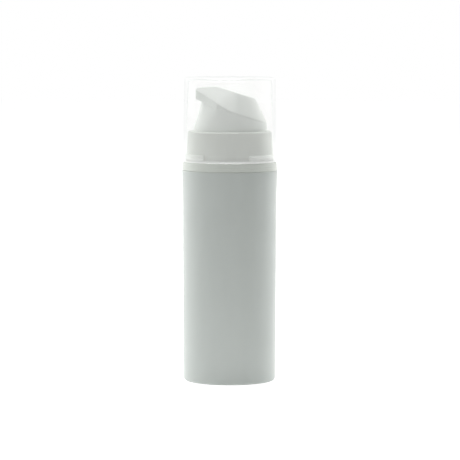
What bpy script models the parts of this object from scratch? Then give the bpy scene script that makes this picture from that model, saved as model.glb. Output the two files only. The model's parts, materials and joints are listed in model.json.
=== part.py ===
"""Airless pump bottle, about 50 ml: a white moulded bottle with a rising follower piston, a snap-on
pump with a pressing head that has a beak-shaped spout, and a clear overcap.

Every length is in metres. Z = 0 is the foot that the bottle stands on, the axis of the bottle is Z,
and the spout points along -X. Pieces that touch on the real object keep the gap TOUCH here, and
pieces that slide keep the gap RUN.
"""

import math

import bmesh
import bpy
import numpy as np
from mathutils import Matrix, Vector

TOUCH = 0.0003
RUN = 0.0003
ROUND = 48
HIDDEN_ROUND = 36
INNER_ROUND = 24
DUCT_ROUND = 16
HOLE_ROUND = 12
BEAD_STEPS = 8
EDGE_STEPS = 4
MERGE = 1e-6
SHARP_ANGLE = math.radians(30)

# Bottle
BORE_R = 0.0156
WALL_FOOT = 0.0013
WALL_MID = 0.00163
WALL_FLARE = 0.00181
WALL_MOUTH = 0.00193
FLARE_H = 0.0116
FLARE_BEND_H = 0.00406
BOTTLE_H = 0.0776
FOOT_EDGE_R = 0.0011
FOOT_RING_W = 0.0026
FOOT_RECESS = 0.0012
FLOOR_T = 0.0013
VENT_R = 0.0024
REBATE_W = 0.0011
REBATE_D = 0.0007
GROOVE_DEPTH = 0.0005
GROOVE_W = 0.0020
GROOVE_DROP = 0.0035

# Follower piston
FOLLOWER_H = 0.012
FOLLOWER_T = 0.0012
FOLLOWER_WAIST = 0.0008
WELL_DEPTH = 0.006
WELL_GAP = 0.0012

# Pump housing, its gaskets and its snap rings
NECK_GASKET_T = 0.0007
PLATE_T = 0.001
SKIRT_T = 0.0011
SKIRT_H = 0.0056
SNAP_BEAD = 0.0005
SNAP_BEAD_W = 0.0012
RING_WALL_T = 0.0008
RING_WALL_H = 0.0032
RING_BEAD = 0.0002
RING_BEAD_H = 0.0009
HUB_T = 0.001
HUB_LIP = 0.0004
HUB_LIP_T = 0.0008

# Collar
LEDGE_T = 0.0012
BAND_INSET = 0.0001
BAND_TAPER = 0.00022
BAND_T = 0.0006
COLLAR_T = 0.0011
COLLAR_STEP = 0.00112
COLLAR_H = 0.0112
COLLAR_TAPER = 0.00072
RIM_T = 0.0012
RIM_EDGE = 0.0003
CAP_BEAD = 0.00027
CAP_BEAD_H = 0.0017
CAP_BEAD_RISE = 0.0014
CAP_BEAD_COUNT = 3
CAP_BEAD_SWEEP = math.radians(60)
CAP_BEAD_FIRST = math.radians(-90 + 54.4)

# Overcap
CAP_GAP = 0.00023
CAP_WALL = 0.00056
CAP_TOP_T = 0.001
CAP_HEADROOM = 0.0028
CAP_OUTER_TAPER = 0.00045
CAP_INNER_TAPER = 0.0011
CAP_EDGE_R = 0.001
CAP_TRAVEL = 0.04

# Pump cylinder, its lock ring and its inlet valve
CYL_BORE_R = 0.005
CYL_T = 0.001
CYL_GASKET_T = 0.0006
CYL_FLANGE_R = 0.0085
CYL_FLANGE_T = 0.001
CYL_NECK_H = 0.0032
CYL_FLOOR_T = 0.0012
INLET_R = 0.0011
BUSH_H = 0.002
LOCK_T = 0.001
LOCK_SKIRT_T = 0.00055
LOCK_SKIRT_H = 0.002
CAGE_BORE_R = 0.0024
CAGE_TOP_T = 0.0006
CAGE_HOLE_R = 0.0009
BALL_R = 0.0016
BALL_LIFT = 0.0008

# Plunger: stem, valve pin, sliding piston and return spring
STROKE = 0.005
LOST_MOTION = 0.001
STEM_R = 0.0026
STEM_BORE_R = 0.0015
PISTON_H = 0.0048
PISTON_LIP_T = 0.0009
PISTON_WAIST = 0.0004
PISTON_WEB_T = 0.0012
PISTON_SLEEVE_T = 0.001
PISTON_SLEEVE_H = 0.003
PIN_HEAD_R = 0.0034
PIN_HEAD_T = 0.001
PIN_R = 0.0012
PIN_GRIP = 0.008
SPRING_LEN = 0.0105
SPRING_R = 0.0076
SPRING_WIRE_R = 0.0004
SPRING_TURNS = 4.5
SPRING_POINTS_A_TURN = 12

# Head
RIM_W = 0.00157
HEAD_WALL = 0.0013
HEAD_TOP_T = 0.0016
HEAD_BEND_T = 0.00065
HEAD_SKIRT_DROP = 0.0059
HEAD_SHOULDER = 0.0002
WALL_LEAN = 0.0002
CREASE_RISE = 0.0079
CREASE_SLOPE = 0.335
CREASE_FRONT_SET = 0.0032
CREASE_BACK_SET = 0.00045
CREASE_SIDE_SET = 0.0012
FRONT_POINT = 1.6
PAD_RISE = 0.01453
PAD_SLOPE = 0.3125
PAD_FRONT_SET = 0.0085
PAD_BACK_SET = 0.0038
PAD_SIDE_SET = 0.0066
PAD_EDGE = 0.0004
BEAK_SET = 0.00105
BEAK_TIP_W = 0.0064
BEAK_TIP_RISE = 0.0156
BEAK_TIP_EDGE = 0.0006
BEAK_TIP_DEPTH = 0.004
BEAK_BROW = 0.005
BEAK_ROOT = 0.0005
BEAK_CHIN = 0.00165
BEAK_CHIN_DROP = 0.0013
BEAK_HEEL = 0.0046
BEAK_HEEL_RISE = 0.008
BEAK_FADE = 0.0005
BEAK_FADE_DROP = 0.0003
BEAK_UNDERCUT = 0.0006
BEAK_FILLET = 0.00025
TIP_STEPS = 2
BROW_STEPS = 6
FLANK_STEPS = 8
SOCKET_GAP = 0.0005
SOCKET_DEPTH = 0.0064
SOCKET_T = 0.0012
BOSS_T = 0.0016
DUCT_R = 0.0009
DUCT_WALL = 0.0011
NOZZLE_R = 0.0012
NOZZLE_LEN = 0.002
NOZZLE_HOLE_R = 0.0005

# Heights that follow from the sizes above, from the foot upwards
Z_FLOOR = FOOT_RECESS + FLOOR_T
Z_REBATE = BOTTLE_H - REBATE_D
Z_NECK_GASKET = Z_REBATE + TOUCH
Z_PLATE = Z_NECK_GASKET + NECK_GASKET_T + TOUCH
Z_PLATE_TOP = Z_PLATE + PLATE_T
Z_SKIRT = Z_PLATE - SKIRT_H
Z_GROOVE = BOTTLE_H - GROOVE_DROP
Z_BAND = BOTTLE_H + TOUCH
Z_LEDGE_UNDER = Z_PLATE_TOP + TOUCH
Z_LEDGE = Z_LEDGE_UNDER + LEDGE_T
Z_RIM = Z_LEDGE + COLLAR_H
Z_CYL_GASKET = Z_PLATE_TOP + TOUCH
Z_CYL_FLANGE = Z_CYL_GASKET + CYL_GASKET_T + TOUCH
Z_CYL_FLANGE_TOP = Z_CYL_FLANGE + CYL_FLANGE_T
Z_HUB_TOP = Z_CYL_FLANGE_TOP + TOUCH + HUB_LIP_T
Z_CYL_TOP = Z_CYL_FLANGE_TOP + CYL_NECK_H
Z_LOCK = Z_CYL_TOP + TOUCH
Z_LOCK_TOP = Z_LOCK + LOCK_T
Z_BUSH = Z_CYL_TOP - BUSH_H
Z_PISTON_TOP = Z_BUSH - LOST_MOTION - TOUCH
Z_PISTON = Z_PISTON_TOP - PISTON_H
Z_SLEEVE_TOP = Z_PISTON + PISTON_SLEEVE_H
Z_PIN_HEAD_TOP = Z_PISTON - TOUCH
Z_PIN_HEAD = Z_PIN_HEAD_TOP - PIN_HEAD_T
Z_CAGE_TOP = Z_PIN_HEAD - STROKE - TOUCH
Z_CAGE_CEILING = Z_CAGE_TOP - CAGE_TOP_T
Z_BALL = Z_CAGE_CEILING - TOUCH - BALL_LIFT - BALL_R
Z_CYL_FLOOR = Z_BALL - TOUCH - math.sqrt(BALL_R**2 - INLET_R**2)
Z_CAGE = Z_CYL_FLOOR + TOUCH
Z_CYL = Z_CYL_FLOOR - CYL_FLOOR_T
Z_FOLLOWER = Z_FLOOR + TOUCH
Z_WELL = Z_FOLLOWER + FOLLOWER_H - WELL_DEPTH
FOLLOWER_TRAVEL = Z_CYL - TOUCH - Z_WELL
Z_STEM = Z_SLEEVE_TOP + LOST_MOTION + TOUCH
Z_SPRING = Z_CYL_FLANGE_TOP + TOUCH
Z_SPRING_TOP = Z_SPRING + SPRING_LEN
Z_BOSS = Z_SPRING_TOP + TOUCH
Z_SOCKET = Z_LOCK_TOP + STROKE + SOCKET_GAP
Z_SOCKET_TOP = Z_SOCKET + SOCKET_DEPTH
Z_STEM_TOP = Z_SOCKET_TOP - TOUCH
Z_HEAD_SKIRT = Z_RIM - HEAD_SKIRT_DROP
Z_HEAD = Z_RIM + HEAD_SHOULDER
Z_CREASE = Z_RIM + CREASE_RISE
Z_PAD = Z_RIM + PAD_RISE
Z_BEAK_TIP = Z_RIM + BEAK_TIP_RISE
Z_BEAK_FOOT = Z_BEAK_TIP - BEAK_TIP_DEPTH
Z_NOZZLE = (Z_BEAK_TIP - BEAK_TIP_EDGE + Z_BEAK_FOOT) / 2
Z_BROW = Z_PAD + PAD_SLOPE * BEAK_BROW
Z_CAP = Z_LEDGE + TOUCH
Z_CAP_CEILING = Z_BROW + CAP_HEADROOM
Z_TOP = Z_CAP_CEILING + CAP_TOP_T

# Radii that follow from the sizes above
MOUTH_R = BORE_R + WALL_MOUTH
REBATE_R = BORE_R + REBATE_W
FLANGE_R = REBATE_R - RUN
BAND_R = MOUTH_R - BAND_INSET
COLLAR_R = BAND_R - BAND_TAPER - COLLAR_STEP
COLLAR_BORE_R = COLLAR_R - COLLAR_T
COLLAR_TOP_R = COLLAR_R - COLLAR_TAPER
RING_WALL_R = COLLAR_BORE_R - RUN
RIM_BORE_R = COLLAR_TOP_R - RIM_W
HEAD_R = RIM_BORE_R - RUN
CREASE_FRONT = HEAD_R - CREASE_FRONT_SET
CREASE_BACK = HEAD_R - CREASE_BACK_SET
CREASE_SIDE = HEAD_R - CREASE_SIDE_SET
PAD_FRONT = HEAD_R - PAD_FRONT_SET
PAD_BACK = HEAD_R - PAD_BACK_SET
PAD_SIDE = HEAD_R - PAD_SIDE_SET
BEAK_REACH = HEAD_R - BEAK_SET
CYL_R = CYL_BORE_R + CYL_T
HUB_BORE_R = CYL_FLANGE_R + RUN
HUB_R = HUB_BORE_R + HUB_T
LOCK_BORE_R = STEM_R + RUN
LOCK_SKIRT_R = CYL_R + RUN
WELL_R = CYL_R + WELL_GAP
SOCKET_R = STEM_R + RUN
CAP_BEAD_R = COLLAR_R + CAP_BEAD
CAP_BORE_R = CAP_BEAD_R + CAP_GAP
CAP_R = CAP_BORE_R + CAP_WALL


def clear_scene():
    for obj in list(bpy.data.objects):
        bpy.data.objects.remove(obj, do_unlink=True)


def new_collection(name):
    collection = bpy.data.collections.new(name)
    bpy.context.scene.collection.children.link(collection)
    return collection


def new_material(name, colour, roughness, metallic=0.0, alpha=1.0, transmission=0.0):
    """A Principled material with one colour, given as linear red, green and blue."""
    material = bpy.data.materials.new(name)
    material.use_nodes = True
    shader = material.node_tree.nodes["Principled BSDF"]
    shader.inputs["Base Color"].default_value = (*colour, 1.0)
    shader.inputs["Roughness"].default_value = roughness
    shader.inputs["Metallic"].default_value = metallic
    shader.inputs["Alpha"].default_value = alpha
    shader.inputs["Transmission Weight"].default_value = transmission
    material.diffuse_color = (*colour, alpha)
    return material


def new_object(name, mesh, collection, material=None):
    obj = bpy.data.objects.new(name, mesh)
    collection.objects.link(obj)
    if material:
        mesh.materials.append(material)
    return obj


def object_from_bmesh(name, bm, collection, material=None):
    bmesh.ops.recalc_face_normals(bm, faces=bm.faces)
    mesh = bpy.data.meshes.new(name)
    bm.to_mesh(mesh)
    bm.free()
    shade(mesh)
    return new_object(name, mesh, collection, material)


def shade(mesh):
    """Shades a mesh smooth and keeps its sharp corners."""
    mesh.shade_smooth()
    mesh.set_sharp_from_angle(angle=SHARP_ANGLE)


def turned(name, profile, collection, material=None, segments=ROUND):
    """A turned piece: its (radius, height) points run down the outer side, then back up the inner one.

    A profile that starts and ends on the axis stays open, and any other is closed.
    """
    on_axis = profile[0][0] == 0 and profile[-1][0] == 0
    count = len(profile)
    edges = [(i, (i + 1) % count) for i in range(count - 1 if on_axis else count)]
    mesh = bpy.data.meshes.new(name)
    mesh.from_pydata([(radius, 0.0, height) for radius, height in profile], edges, [])
    obj = new_object(name, mesh, collection, material)
    screw = obj.modifiers.new("Turn", "SCREW")
    screw.axis = "Z"
    screw.steps = segments
    screw.render_steps = segments
    screw.use_merge_vertices = True
    screw.merge_threshold = MERGE
    bpy.context.view_layer.update()
    graph = bpy.context.evaluated_depsgraph_get()
    obj.data = bpy.data.meshes.new_from_object(obj.evaluated_get(graph))
    obj.modifiers.clear()
    shade(obj.data)
    return obj


def arc(centre, radius, start, end, steps):
    """Points on an arc of a turned profile, with the angles in degrees from the outward direction."""
    points = []
    for i in range(steps + 1):
        angle = math.radians(start + (end - start) * i / steps)
        points.append((centre[0] + radius * math.cos(angle), centre[1] + radius * math.sin(angle)))
    return points


def helper(obj):
    obj.hide_render = True
    obj.display_type = "WIRE"
    return obj


def combine(obj, other, operation):
    """Adds a Boolean with another object, which becomes a helper."""
    modifier = obj.modifiers.new(f"{operation} {other.name}", "BOOLEAN")
    modifier.operation = operation
    modifier.object = helper(other)
    modifier.solver = "EXACT"


def rod(name, radius, start, end, collection, segments=INNER_ROUND):
    """A closed cylinder between two points."""
    start, end = Vector(start), Vector(end)
    along = end - start
    turn = along.to_track_quat("Z", "Y").to_matrix().to_4x4()
    place = Matrix.Translation((start + end) / 2) @ turn
    bm = bmesh.new()
    bmesh.ops.create_cone(
        bm,
        cap_ends=True,
        segments=segments,
        radius1=radius,
        radius2=radius,
        depth=along.length,
        matrix=place,
    )
    return object_from_bmesh(name, bm, collection)


def loft(name, rings, collection, material=None, fold=None):
    """A closed solid through rings of equal point count, listed from one end to the other.

    The last ring's face can be folded across, that many points to each side of the ring's middle one.
    """
    bm = bmesh.new()
    loops = [[bm.verts.new(point) for point in ring] for ring in rings]
    count = len(loops[0])
    for lower, upper in zip(loops, loops[1:]):
        for i in range(count):
            j = (i + 1) % count
            bm.faces.new((lower[i], lower[j], upper[j], upper[i]))
    bm.faces.new(list(reversed(loops[0])))
    top = loops[-1]
    if fold:
        near, far = count // 2 - fold, count // 2 + fold
        bm.faces.new(top[near : far + 1])
        bm.faces.new(top[far:] + top[: near + 1])
    else:
        bm.faces.new(top)
    return object_from_bmesh(name, bm, collection, material)


def joint_empty(name, parent, height, collection, travel=0.0):
    """An empty on a joint's axis, which carries the pieces that move with it and notes how far they slide."""
    empty = bpy.data.objects.new(name, None)
    empty.empty_display_size = 0.005
    empty.location = (0.0, 0.0, height)
    empty["travel_m"] = travel
    collection.objects.link(empty)
    if parent:
        attach(empty, parent)
    return empty


def attach(obj, parent):
    """Parents an object and leaves it where it stands."""
    bpy.context.view_layer.update()
    obj.parent = parent
    obj.matrix_parent_inverse = parent.matrix_world.inverted()


# Bottle and follower


def bottle(collection, material):
    foot_r = BORE_R + WALL_FOOT
    groove_half = GROOVE_W / 2
    edge = arc((foot_r - FOOT_EDGE_R, FOOT_EDGE_R), FOOT_EDGE_R, 0, -90, EDGE_STEPS)
    profile = [
        (MOUTH_R - BAND_INSET, BOTTLE_H),
        (MOUTH_R, BOTTLE_H - BAND_INSET),
        (BORE_R + WALL_FLARE, BOTTLE_H - FLARE_BEND_H),
        (BORE_R + WALL_MID, BOTTLE_H - FLARE_H),
        *edge,
        (foot_r - FOOT_RING_W, 0.0),
        (foot_r - FOOT_RING_W - FOOT_RECESS / 2, FOOT_RECESS),
        (VENT_R, FOOT_RECESS),
        (VENT_R, Z_FLOOR),
        (BORE_R, Z_FLOOR),
        (BORE_R, Z_GROOVE - groove_half),
        (BORE_R + GROOVE_DEPTH, Z_GROOVE - groove_half + GROOVE_DEPTH),
        (BORE_R + GROOVE_DEPTH, Z_GROOVE + groove_half - GROOVE_DEPTH),
        (BORE_R, Z_GROOVE + groove_half),
        (BORE_R, Z_REBATE),
        (REBATE_R, Z_REBATE),
        (REBATE_R, BOTTLE_H),
    ]
    return turned("bottle", profile, collection, material)


def follower_piston(collection, material):
    """A cup with a sealing lip at each end and a well that takes the pump cylinder when it is empty."""
    low = Z_FOLLOWER
    high = low + FOLLOWER_H
    lip_r = BORE_R - RUN
    waist_r = lip_r - FOLLOWER_WAIST
    lip_h = FOLLOWER_H / 6
    crown = high - lip_h
    inner_r = waist_r - FOLLOWER_T
    profile = [
        (lip_r - FOLLOWER_WAIST / 2, high),
        (lip_r, high - lip_h / 2),
        (waist_r, high - 2 * lip_h),
        (waist_r, low + 2 * lip_h),
        (lip_r, low + lip_h / 2),
        (lip_r - FOLLOWER_WAIST / 2, low),
        (inner_r, low),
        (inner_r, crown - FOLLOWER_T),
        (WELL_R + FOLLOWER_T, crown - FOLLOWER_T),
        (WELL_R + FOLLOWER_T, Z_WELL - FOLLOWER_T),
        (0.0, Z_WELL - FOLLOWER_T),
    ]
    top = [
        (0.0, Z_WELL),
        (WELL_R, Z_WELL),
        (WELL_R, crown),
        (inner_r, crown),
    ]
    return turned("follower_piston", top + profile, collection, material, HIDDEN_ROUND)


# Pump housing and collar


def neck_gasket(collection, material):
    inner, outer = BORE_R + TOUCH / 2, REBATE_R - RUN
    low, high = Z_NECK_GASKET, Z_NECK_GASKET + NECK_GASKET_T
    profile = [(outer, high), (outer, low), (inner, low), (inner, high)]
    return turned("neck_gasket", profile, collection, material, HIDDEN_ROUND)


def pump_housing(collection, material):
    """The closing plate: a skirt that snaps into the bottle, a ring that holds the collar, and the hub."""
    skirt_r = BORE_R - RUN
    bead_r = skirt_r + SNAP_BEAD
    bead_half = SNAP_BEAD_W / 2
    ring_top = Z_PLATE_TOP + RING_WALL_H
    ring_in = RING_WALL_R - RING_WALL_T
    profile = [
        (RING_WALL_R - RING_BEAD, ring_top),
        (RING_WALL_R + RING_BEAD, ring_top - RING_BEAD_H / 2),
        (RING_WALL_R, ring_top - RING_BEAD_H),
        (RING_WALL_R, Z_PLATE_TOP),
        (FLANGE_R, Z_PLATE_TOP),
        (FLANGE_R, Z_PLATE),
        (skirt_r, Z_PLATE),
        (skirt_r, Z_GROOVE + bead_half),
        (bead_r, Z_GROOVE + bead_half / 3),
        (bead_r, Z_GROOVE - bead_half / 3),
        (skirt_r, Z_GROOVE - bead_half),
        (skirt_r - SKIRT_T / 2, Z_SKIRT),
        (skirt_r - SKIRT_T, Z_SKIRT),
        (skirt_r - SKIRT_T, Z_PLATE),
        (CYL_R + RUN, Z_PLATE),
        (CYL_R + RUN, Z_PLATE_TOP),
        (HUB_BORE_R, Z_PLATE_TOP),
        (HUB_BORE_R, Z_HUB_TOP - HUB_LIP_T),
        (HUB_BORE_R - HUB_LIP, Z_HUB_TOP - HUB_LIP_T / 2),
        (HUB_BORE_R, Z_HUB_TOP),
        (HUB_R, Z_HUB_TOP),
        (HUB_R, Z_PLATE_TOP),
        (ring_in, Z_PLATE_TOP),
        (ring_in, ring_top),
    ]
    return turned("pump_housing", profile, collection, material, HIDDEN_ROUND)


def collar_radius(height):
    """The collar wall's outer radius at a height."""
    return COLLAR_R - COLLAR_TAPER * (height - Z_LEDGE) / COLLAR_H


def collar(collection, cutters, material):
    band_in = BAND_R - BAND_T
    groove_r = COLLAR_BORE_R + RING_BEAD
    ring_top = Z_PLATE_TOP + RING_WALL_H
    profile = [
        (COLLAR_TOP_R - RIM_EDGE, Z_RIM),
        (COLLAR_TOP_R, Z_RIM - RIM_EDGE),
        (COLLAR_R, Z_LEDGE),
        (BAND_R - BAND_TAPER - BAND_INSET, Z_LEDGE),
        (BAND_R - BAND_TAPER, Z_LEDGE - BAND_INSET),
        (BAND_R, Z_BAND + BAND_INSET),
        (BAND_R - BAND_INSET, Z_BAND),
        (band_in, Z_BAND),
        (band_in, Z_LEDGE_UNDER),
        (COLLAR_BORE_R, Z_LEDGE_UNDER),
        (COLLAR_BORE_R, ring_top - RING_BEAD_H - RING_BEAD),
        (groove_r, ring_top - RING_BEAD_H),
        (groove_r, ring_top),
        (COLLAR_BORE_R, ring_top + RING_BEAD),
        (COLLAR_TOP_R - COLLAR_T, Z_RIM - RIM_T),
        (RIM_BORE_R, Z_RIM - RIM_T),
        (RIM_BORE_R, Z_RIM),
    ]
    obj = turned("collar", profile, collection, material)
    for i in range(CAP_BEAD_COUNT):
        centre = CAP_BEAD_FIRST + i * 2 * math.pi / CAP_BEAD_COUNT
        combine(obj, cap_bead(f"cap_bead_{i + 1}", centre, cutters), "UNION")
    obj.modifiers.new("Even shading", "WEIGHTED_NORMAL").keep_sharp = True
    return obj


def cap_bead(name, centre, collection):
    """One raised bead on the collar wall, which the overcap snaps over."""
    low = Z_LEDGE + CAP_BEAD_RISE
    high = low + CAP_BEAD_H
    root = COLLAR_R - COLLAR_T / 2
    section = [
        (root, high),
        (collar_radius(high), high),
        (CAP_BEAD_R, high - CAP_BEAD_H / 3),
        (CAP_BEAD_R, low + CAP_BEAD_H / 3),
        (collar_radius(low), low),
        (root, low),
    ]
    first = centre - CAP_BEAD_SWEEP / 2
    bm = bmesh.new()
    face = bm.faces.new([bm.verts.new((radius, 0.0, height)) for radius, height in section])
    bmesh.ops.rotate(bm, verts=bm.verts, matrix=Matrix.Rotation(first, 3, "Z"))
    around = dict(axis=(0, 0, 1), cent=(0, 0, 0), angle=CAP_BEAD_SWEEP, steps=BEAD_STEPS)
    bmesh.ops.spin(bm, geom=[face, *face.edges, *face.verts], **around)
    return object_from_bmesh(name, bm, collection)


def overcap(collection, material):
    top_r = CAP_R - CAP_OUTER_TAPER
    ceiling_r = CAP_BORE_R - CAP_INNER_TAPER
    bead_top = Z_LEDGE + CAP_BEAD_RISE + CAP_BEAD_H
    profile = [
        (0.0, Z_TOP),
        *arc((top_r - CAP_EDGE_R, Z_TOP - CAP_EDGE_R), CAP_EDGE_R, 90, 0, EDGE_STEPS),
        (CAP_R, Z_CAP + CAP_WALL / 4),
        (CAP_R - CAP_WALL / 4, Z_CAP),
        (CAP_BORE_R, Z_CAP),
        (CAP_BORE_R, bead_top),
        (ceiling_r, Z_CAP_CEILING - CAP_EDGE_R),
        (ceiling_r - CAP_EDGE_R, Z_CAP_CEILING),
        (0.0, Z_CAP_CEILING),
    ]
    return turned("overcap", profile, collection, material)


# Pump cylinder and its valve


def cylinder_gasket(collection, material):
    inner, outer = CYL_R + RUN, CYL_FLANGE_R
    low, high = Z_CYL_GASKET, Z_CYL_GASKET + CYL_GASKET_T
    profile = [(outer, high), (outer, low), (inner, low), (inner, high)]
    return turned("cylinder_gasket", profile, collection, material, INNER_ROUND)


def pump_cylinder(collection, material):
    profile = [
        (CYL_R, Z_CYL_TOP),
        (CYL_R, Z_CYL_FLANGE_TOP),
        (CYL_FLANGE_R, Z_CYL_FLANGE_TOP),
        (CYL_FLANGE_R, Z_CYL_FLANGE),
        (CYL_R, Z_CYL_FLANGE),
        (CYL_R, Z_CYL + CYL_T),
        (CYL_R - CYL_T, Z_CYL),
        (INLET_R + CYL_T, Z_CYL),
        (INLET_R, Z_CYL + CYL_FLOOR_T / 2),
        (INLET_R, Z_CYL_FLOOR),
        (CYL_BORE_R, Z_CYL_FLOOR),
        (CYL_BORE_R, Z_CYL_TOP),
    ]
    return turned("pump_cylinder", profile, collection, material, INNER_ROUND)


def lock_ring(collection, material):
    """Closes the cylinder round the stem, with a bush inside the bore and a snap skirt outside."""
    bush_r = CYL_BORE_R - RUN
    skirt_r = LOCK_SKIRT_R + LOCK_SKIRT_T
    skirt_low = Z_CYL_TOP - LOCK_SKIRT_H
    profile = [
        (skirt_r, Z_LOCK_TOP),
        (skirt_r, skirt_low),
        (LOCK_SKIRT_R, skirt_low),
        (LOCK_SKIRT_R, Z_LOCK),
        (bush_r, Z_LOCK),
        (bush_r, Z_BUSH),
        (LOCK_BORE_R, Z_BUSH),
        (LOCK_BORE_R, Z_LOCK_TOP),
    ]
    return turned("lock_ring", profile, collection, material, INNER_ROUND)


def valve_cage(collection, material):
    outer = CYL_BORE_R - RUN
    profile = [
        (outer, Z_CAGE_TOP),
        (outer, Z_CAGE),
        (CAGE_BORE_R, Z_CAGE),
        (CAGE_BORE_R, Z_CAGE_CEILING),
        (CAGE_HOLE_R, Z_CAGE_CEILING),
        (CAGE_HOLE_R, Z_CAGE_TOP),
    ]
    return turned("valve_cage", profile, collection, material, INNER_ROUND)


def inlet_ball(collection, material):
    bm = bmesh.new()
    bmesh.ops.create_uvsphere(bm, u_segments=16, v_segments=10, radius=BALL_R)
    bmesh.ops.translate(bm, verts=bm.verts, vec=(0.0, 0.0, Z_BALL))
    return object_from_bmesh("inlet_ball", bm, collection, material)


# Plunger


def main_piston(collection, material):
    lip_r = CYL_BORE_R - RUN
    waist_r = lip_r - PISTON_WAIST
    bore_r = lip_r - PISTON_LIP_T - PISTON_WAIST
    sleeve_in = PIN_R + RUN
    sleeve_r = sleeve_in + PISTON_SLEEVE_T
    web_low = Z_PISTON + (PISTON_SLEEVE_H - PISTON_WEB_T) / 2
    profile = [
        (lip_r, Z_PISTON_TOP),
        (waist_r, Z_PISTON_TOP - PISTON_H / 4),
        (waist_r, Z_PISTON + PISTON_H / 4),
        (lip_r, Z_PISTON),
        (bore_r, Z_PISTON),
        (bore_r, web_low),
        (sleeve_r, web_low),
        (sleeve_r, Z_PISTON),
        (sleeve_in, Z_PISTON),
        (sleeve_in, Z_SLEEVE_TOP),
        (sleeve_r, Z_SLEEVE_TOP),
        (sleeve_r, web_low + PISTON_WEB_T),
        (bore_r, web_low + PISTON_WEB_T),
        (bore_r, Z_PISTON_TOP),
    ]
    return turned("main_piston", profile, collection, material, INNER_ROUND)


def stem(collection, material):
    profile = [
        (STEM_R, Z_STEM_TOP),
        (STEM_R, Z_STEM),
        (STEM_BORE_R, Z_STEM),
        (STEM_BORE_R, Z_STEM_TOP),
    ]
    return turned("stem", profile, collection, material, INNER_ROUND)


def valve_pin(collection, material):
    top = Z_STEM + PIN_GRIP
    profile = [
        (0.0, top),
        (PIN_R, top),
        (PIN_R, Z_PIN_HEAD_TOP),
        (PIN_HEAD_R, Z_PIN_HEAD_TOP),
        (PIN_HEAD_R, Z_PIN_HEAD + PIN_HEAD_T / 2),
        (PIN_HEAD_R - PIN_HEAD_T / 2, Z_PIN_HEAD),
        (0.0, Z_PIN_HEAD),
    ]
    return turned("valve_pin", profile, collection, material, INNER_ROUND)


def return_spring(collection, material):
    """An open coil whose wire's middle climbs at a steady rate from its lower to its upper seat."""
    low = Z_SPRING + SPRING_WIRE_R
    climb = SPRING_LEN - 2 * SPRING_WIRE_R
    count = round(SPRING_TURNS * SPRING_POINTS_A_TURN) + 1
    pitch = climb / SPRING_TURNS
    print(f"return_spring: least gap between turns {1000 * (pitch - 2 * SPRING_WIRE_R):.2f} mm")
    curve = bpy.data.curves.new("return_spring", "CURVE")
    curve.dimensions = "3D"
    curve.bevel_depth = SPRING_WIRE_R
    curve.bevel_resolution = 1
    curve.use_fill_caps = True
    spline = curve.splines.new("POLY")
    spline.points.add(count - 1)
    for i, point in enumerate(spline.points):
        share = i / (count - 1)
        angle = 2 * math.pi * SPRING_TURNS * share
        x, y = SPRING_R * math.cos(angle), SPRING_R * math.sin(angle)
        point.co = (x, y, low + climb * share, 1.0)
    return new_object("return_spring", curve, collection, material)


# Head


def egg(front, back, side, front_power=2.0):
    """Plan points of an egg shape round the axis: its front, at -X, can be more pointed than its back."""
    centre = (back - front) / 2
    reach = (back + front) / 2
    points = []
    for i in range(ROUND):
        angle = 2 * math.pi * i / ROUND
        c, s = math.cos(angle), math.sin(angle)
        power = front_power if c < 0 else 2.0
        x = math.copysign(abs(c) ** (2 / power), c)
        y = math.copysign(abs(s) ** (2 / power), s)
        points.append((centre + reach * x, side * y))
    return points


def beaked(plan, reach, tip_half):
    """The same plan, its front drawn out to a flat beak end by a straight flank on each side."""
    points = list(plan)
    middle = ROUND // 2
    end_x, end_y = plan[middle - FLANK_STEPS]
    steps, places = (TIP_STEPS, BROW_STEPS, FLANK_STEPS), (-reach, -BEAK_BROW, end_x)
    for step in range(FLANK_STEPS):
        x = float(np.interp(step, steps, places))
        y = tip_half * step / TIP_STEPS
        if step > TIP_STEPS:
            y = tip_half + (end_y - tip_half) * (x + reach) / (end_x + reach)
        points[middle - step] = (x, y)
        points[middle + step] = (x, -y)
    return points


def top_height(x):
    """The head's top: the sloping finger pad, and past the brow the beak's flatter top."""
    slope = (Z_BROW - Z_BEAK_TIP) / (BEAK_REACH - BEAK_BROW)
    return Z_PAD - PAD_SLOPE * x if x >= -BEAK_BROW else Z_BROW + slope * (x + BEAK_BROW)


def crease_height(x):
    """The crease round the head: it climbs faster along the beak's side than round the body."""
    root = Z_CREASE + CREASE_SLOPE * BEAK_ROOT
    slope = (Z_BEAK_TIP - BEAK_TIP_EDGE - root) / (BEAK_REACH - BEAK_ROOT)
    return Z_CREASE - CREASE_SLOPE * x if x >= -BEAK_ROOT else root - slope * (x + BEAK_ROOT)


def under_height(x):
    """The lower edge of the beak's side, which fades into the crease behind the axis."""
    places = (-BEAK_REACH, BEAK_CHIN - BEAK_REACH, -BEAK_HEEL, BEAK_FADE)
    faded = crease_height(BEAK_FADE) - BEAK_FADE_DROP
    heights = (Z_BEAK_FOOT, Z_BEAK_FOOT - BEAK_CHIN_DROP, Z_RIM + BEAK_HEEL_RISE, faded)
    return min(float(np.interp(x, places, heights)), crease_height(x) - BEAK_FADE_DROP)


def wall_rings(inset, low):
    """The rings of the head's wall below the crease, from its open end up."""
    base = egg(HEAD_R - inset, HEAD_R - inset, HEAD_R - inset)
    crease = egg(CREASE_FRONT - inset, CREASE_BACK - inset, CREASE_SIDE - inset, FRONT_POINT)
    middle = []
    for (base_x, base_y), (x, y) in zip(base, crease):
        height = (Z_HEAD + Z_CREASE - CREASE_SLOPE * x) / 2
        middle.append(((base_x + x) / 2 + WALL_LEAN, (base_y + y) / 2, height))
    return [[(x, y, low) for x, y in base], [(x, y, Z_HEAD) for x, y in base], middle]


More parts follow.
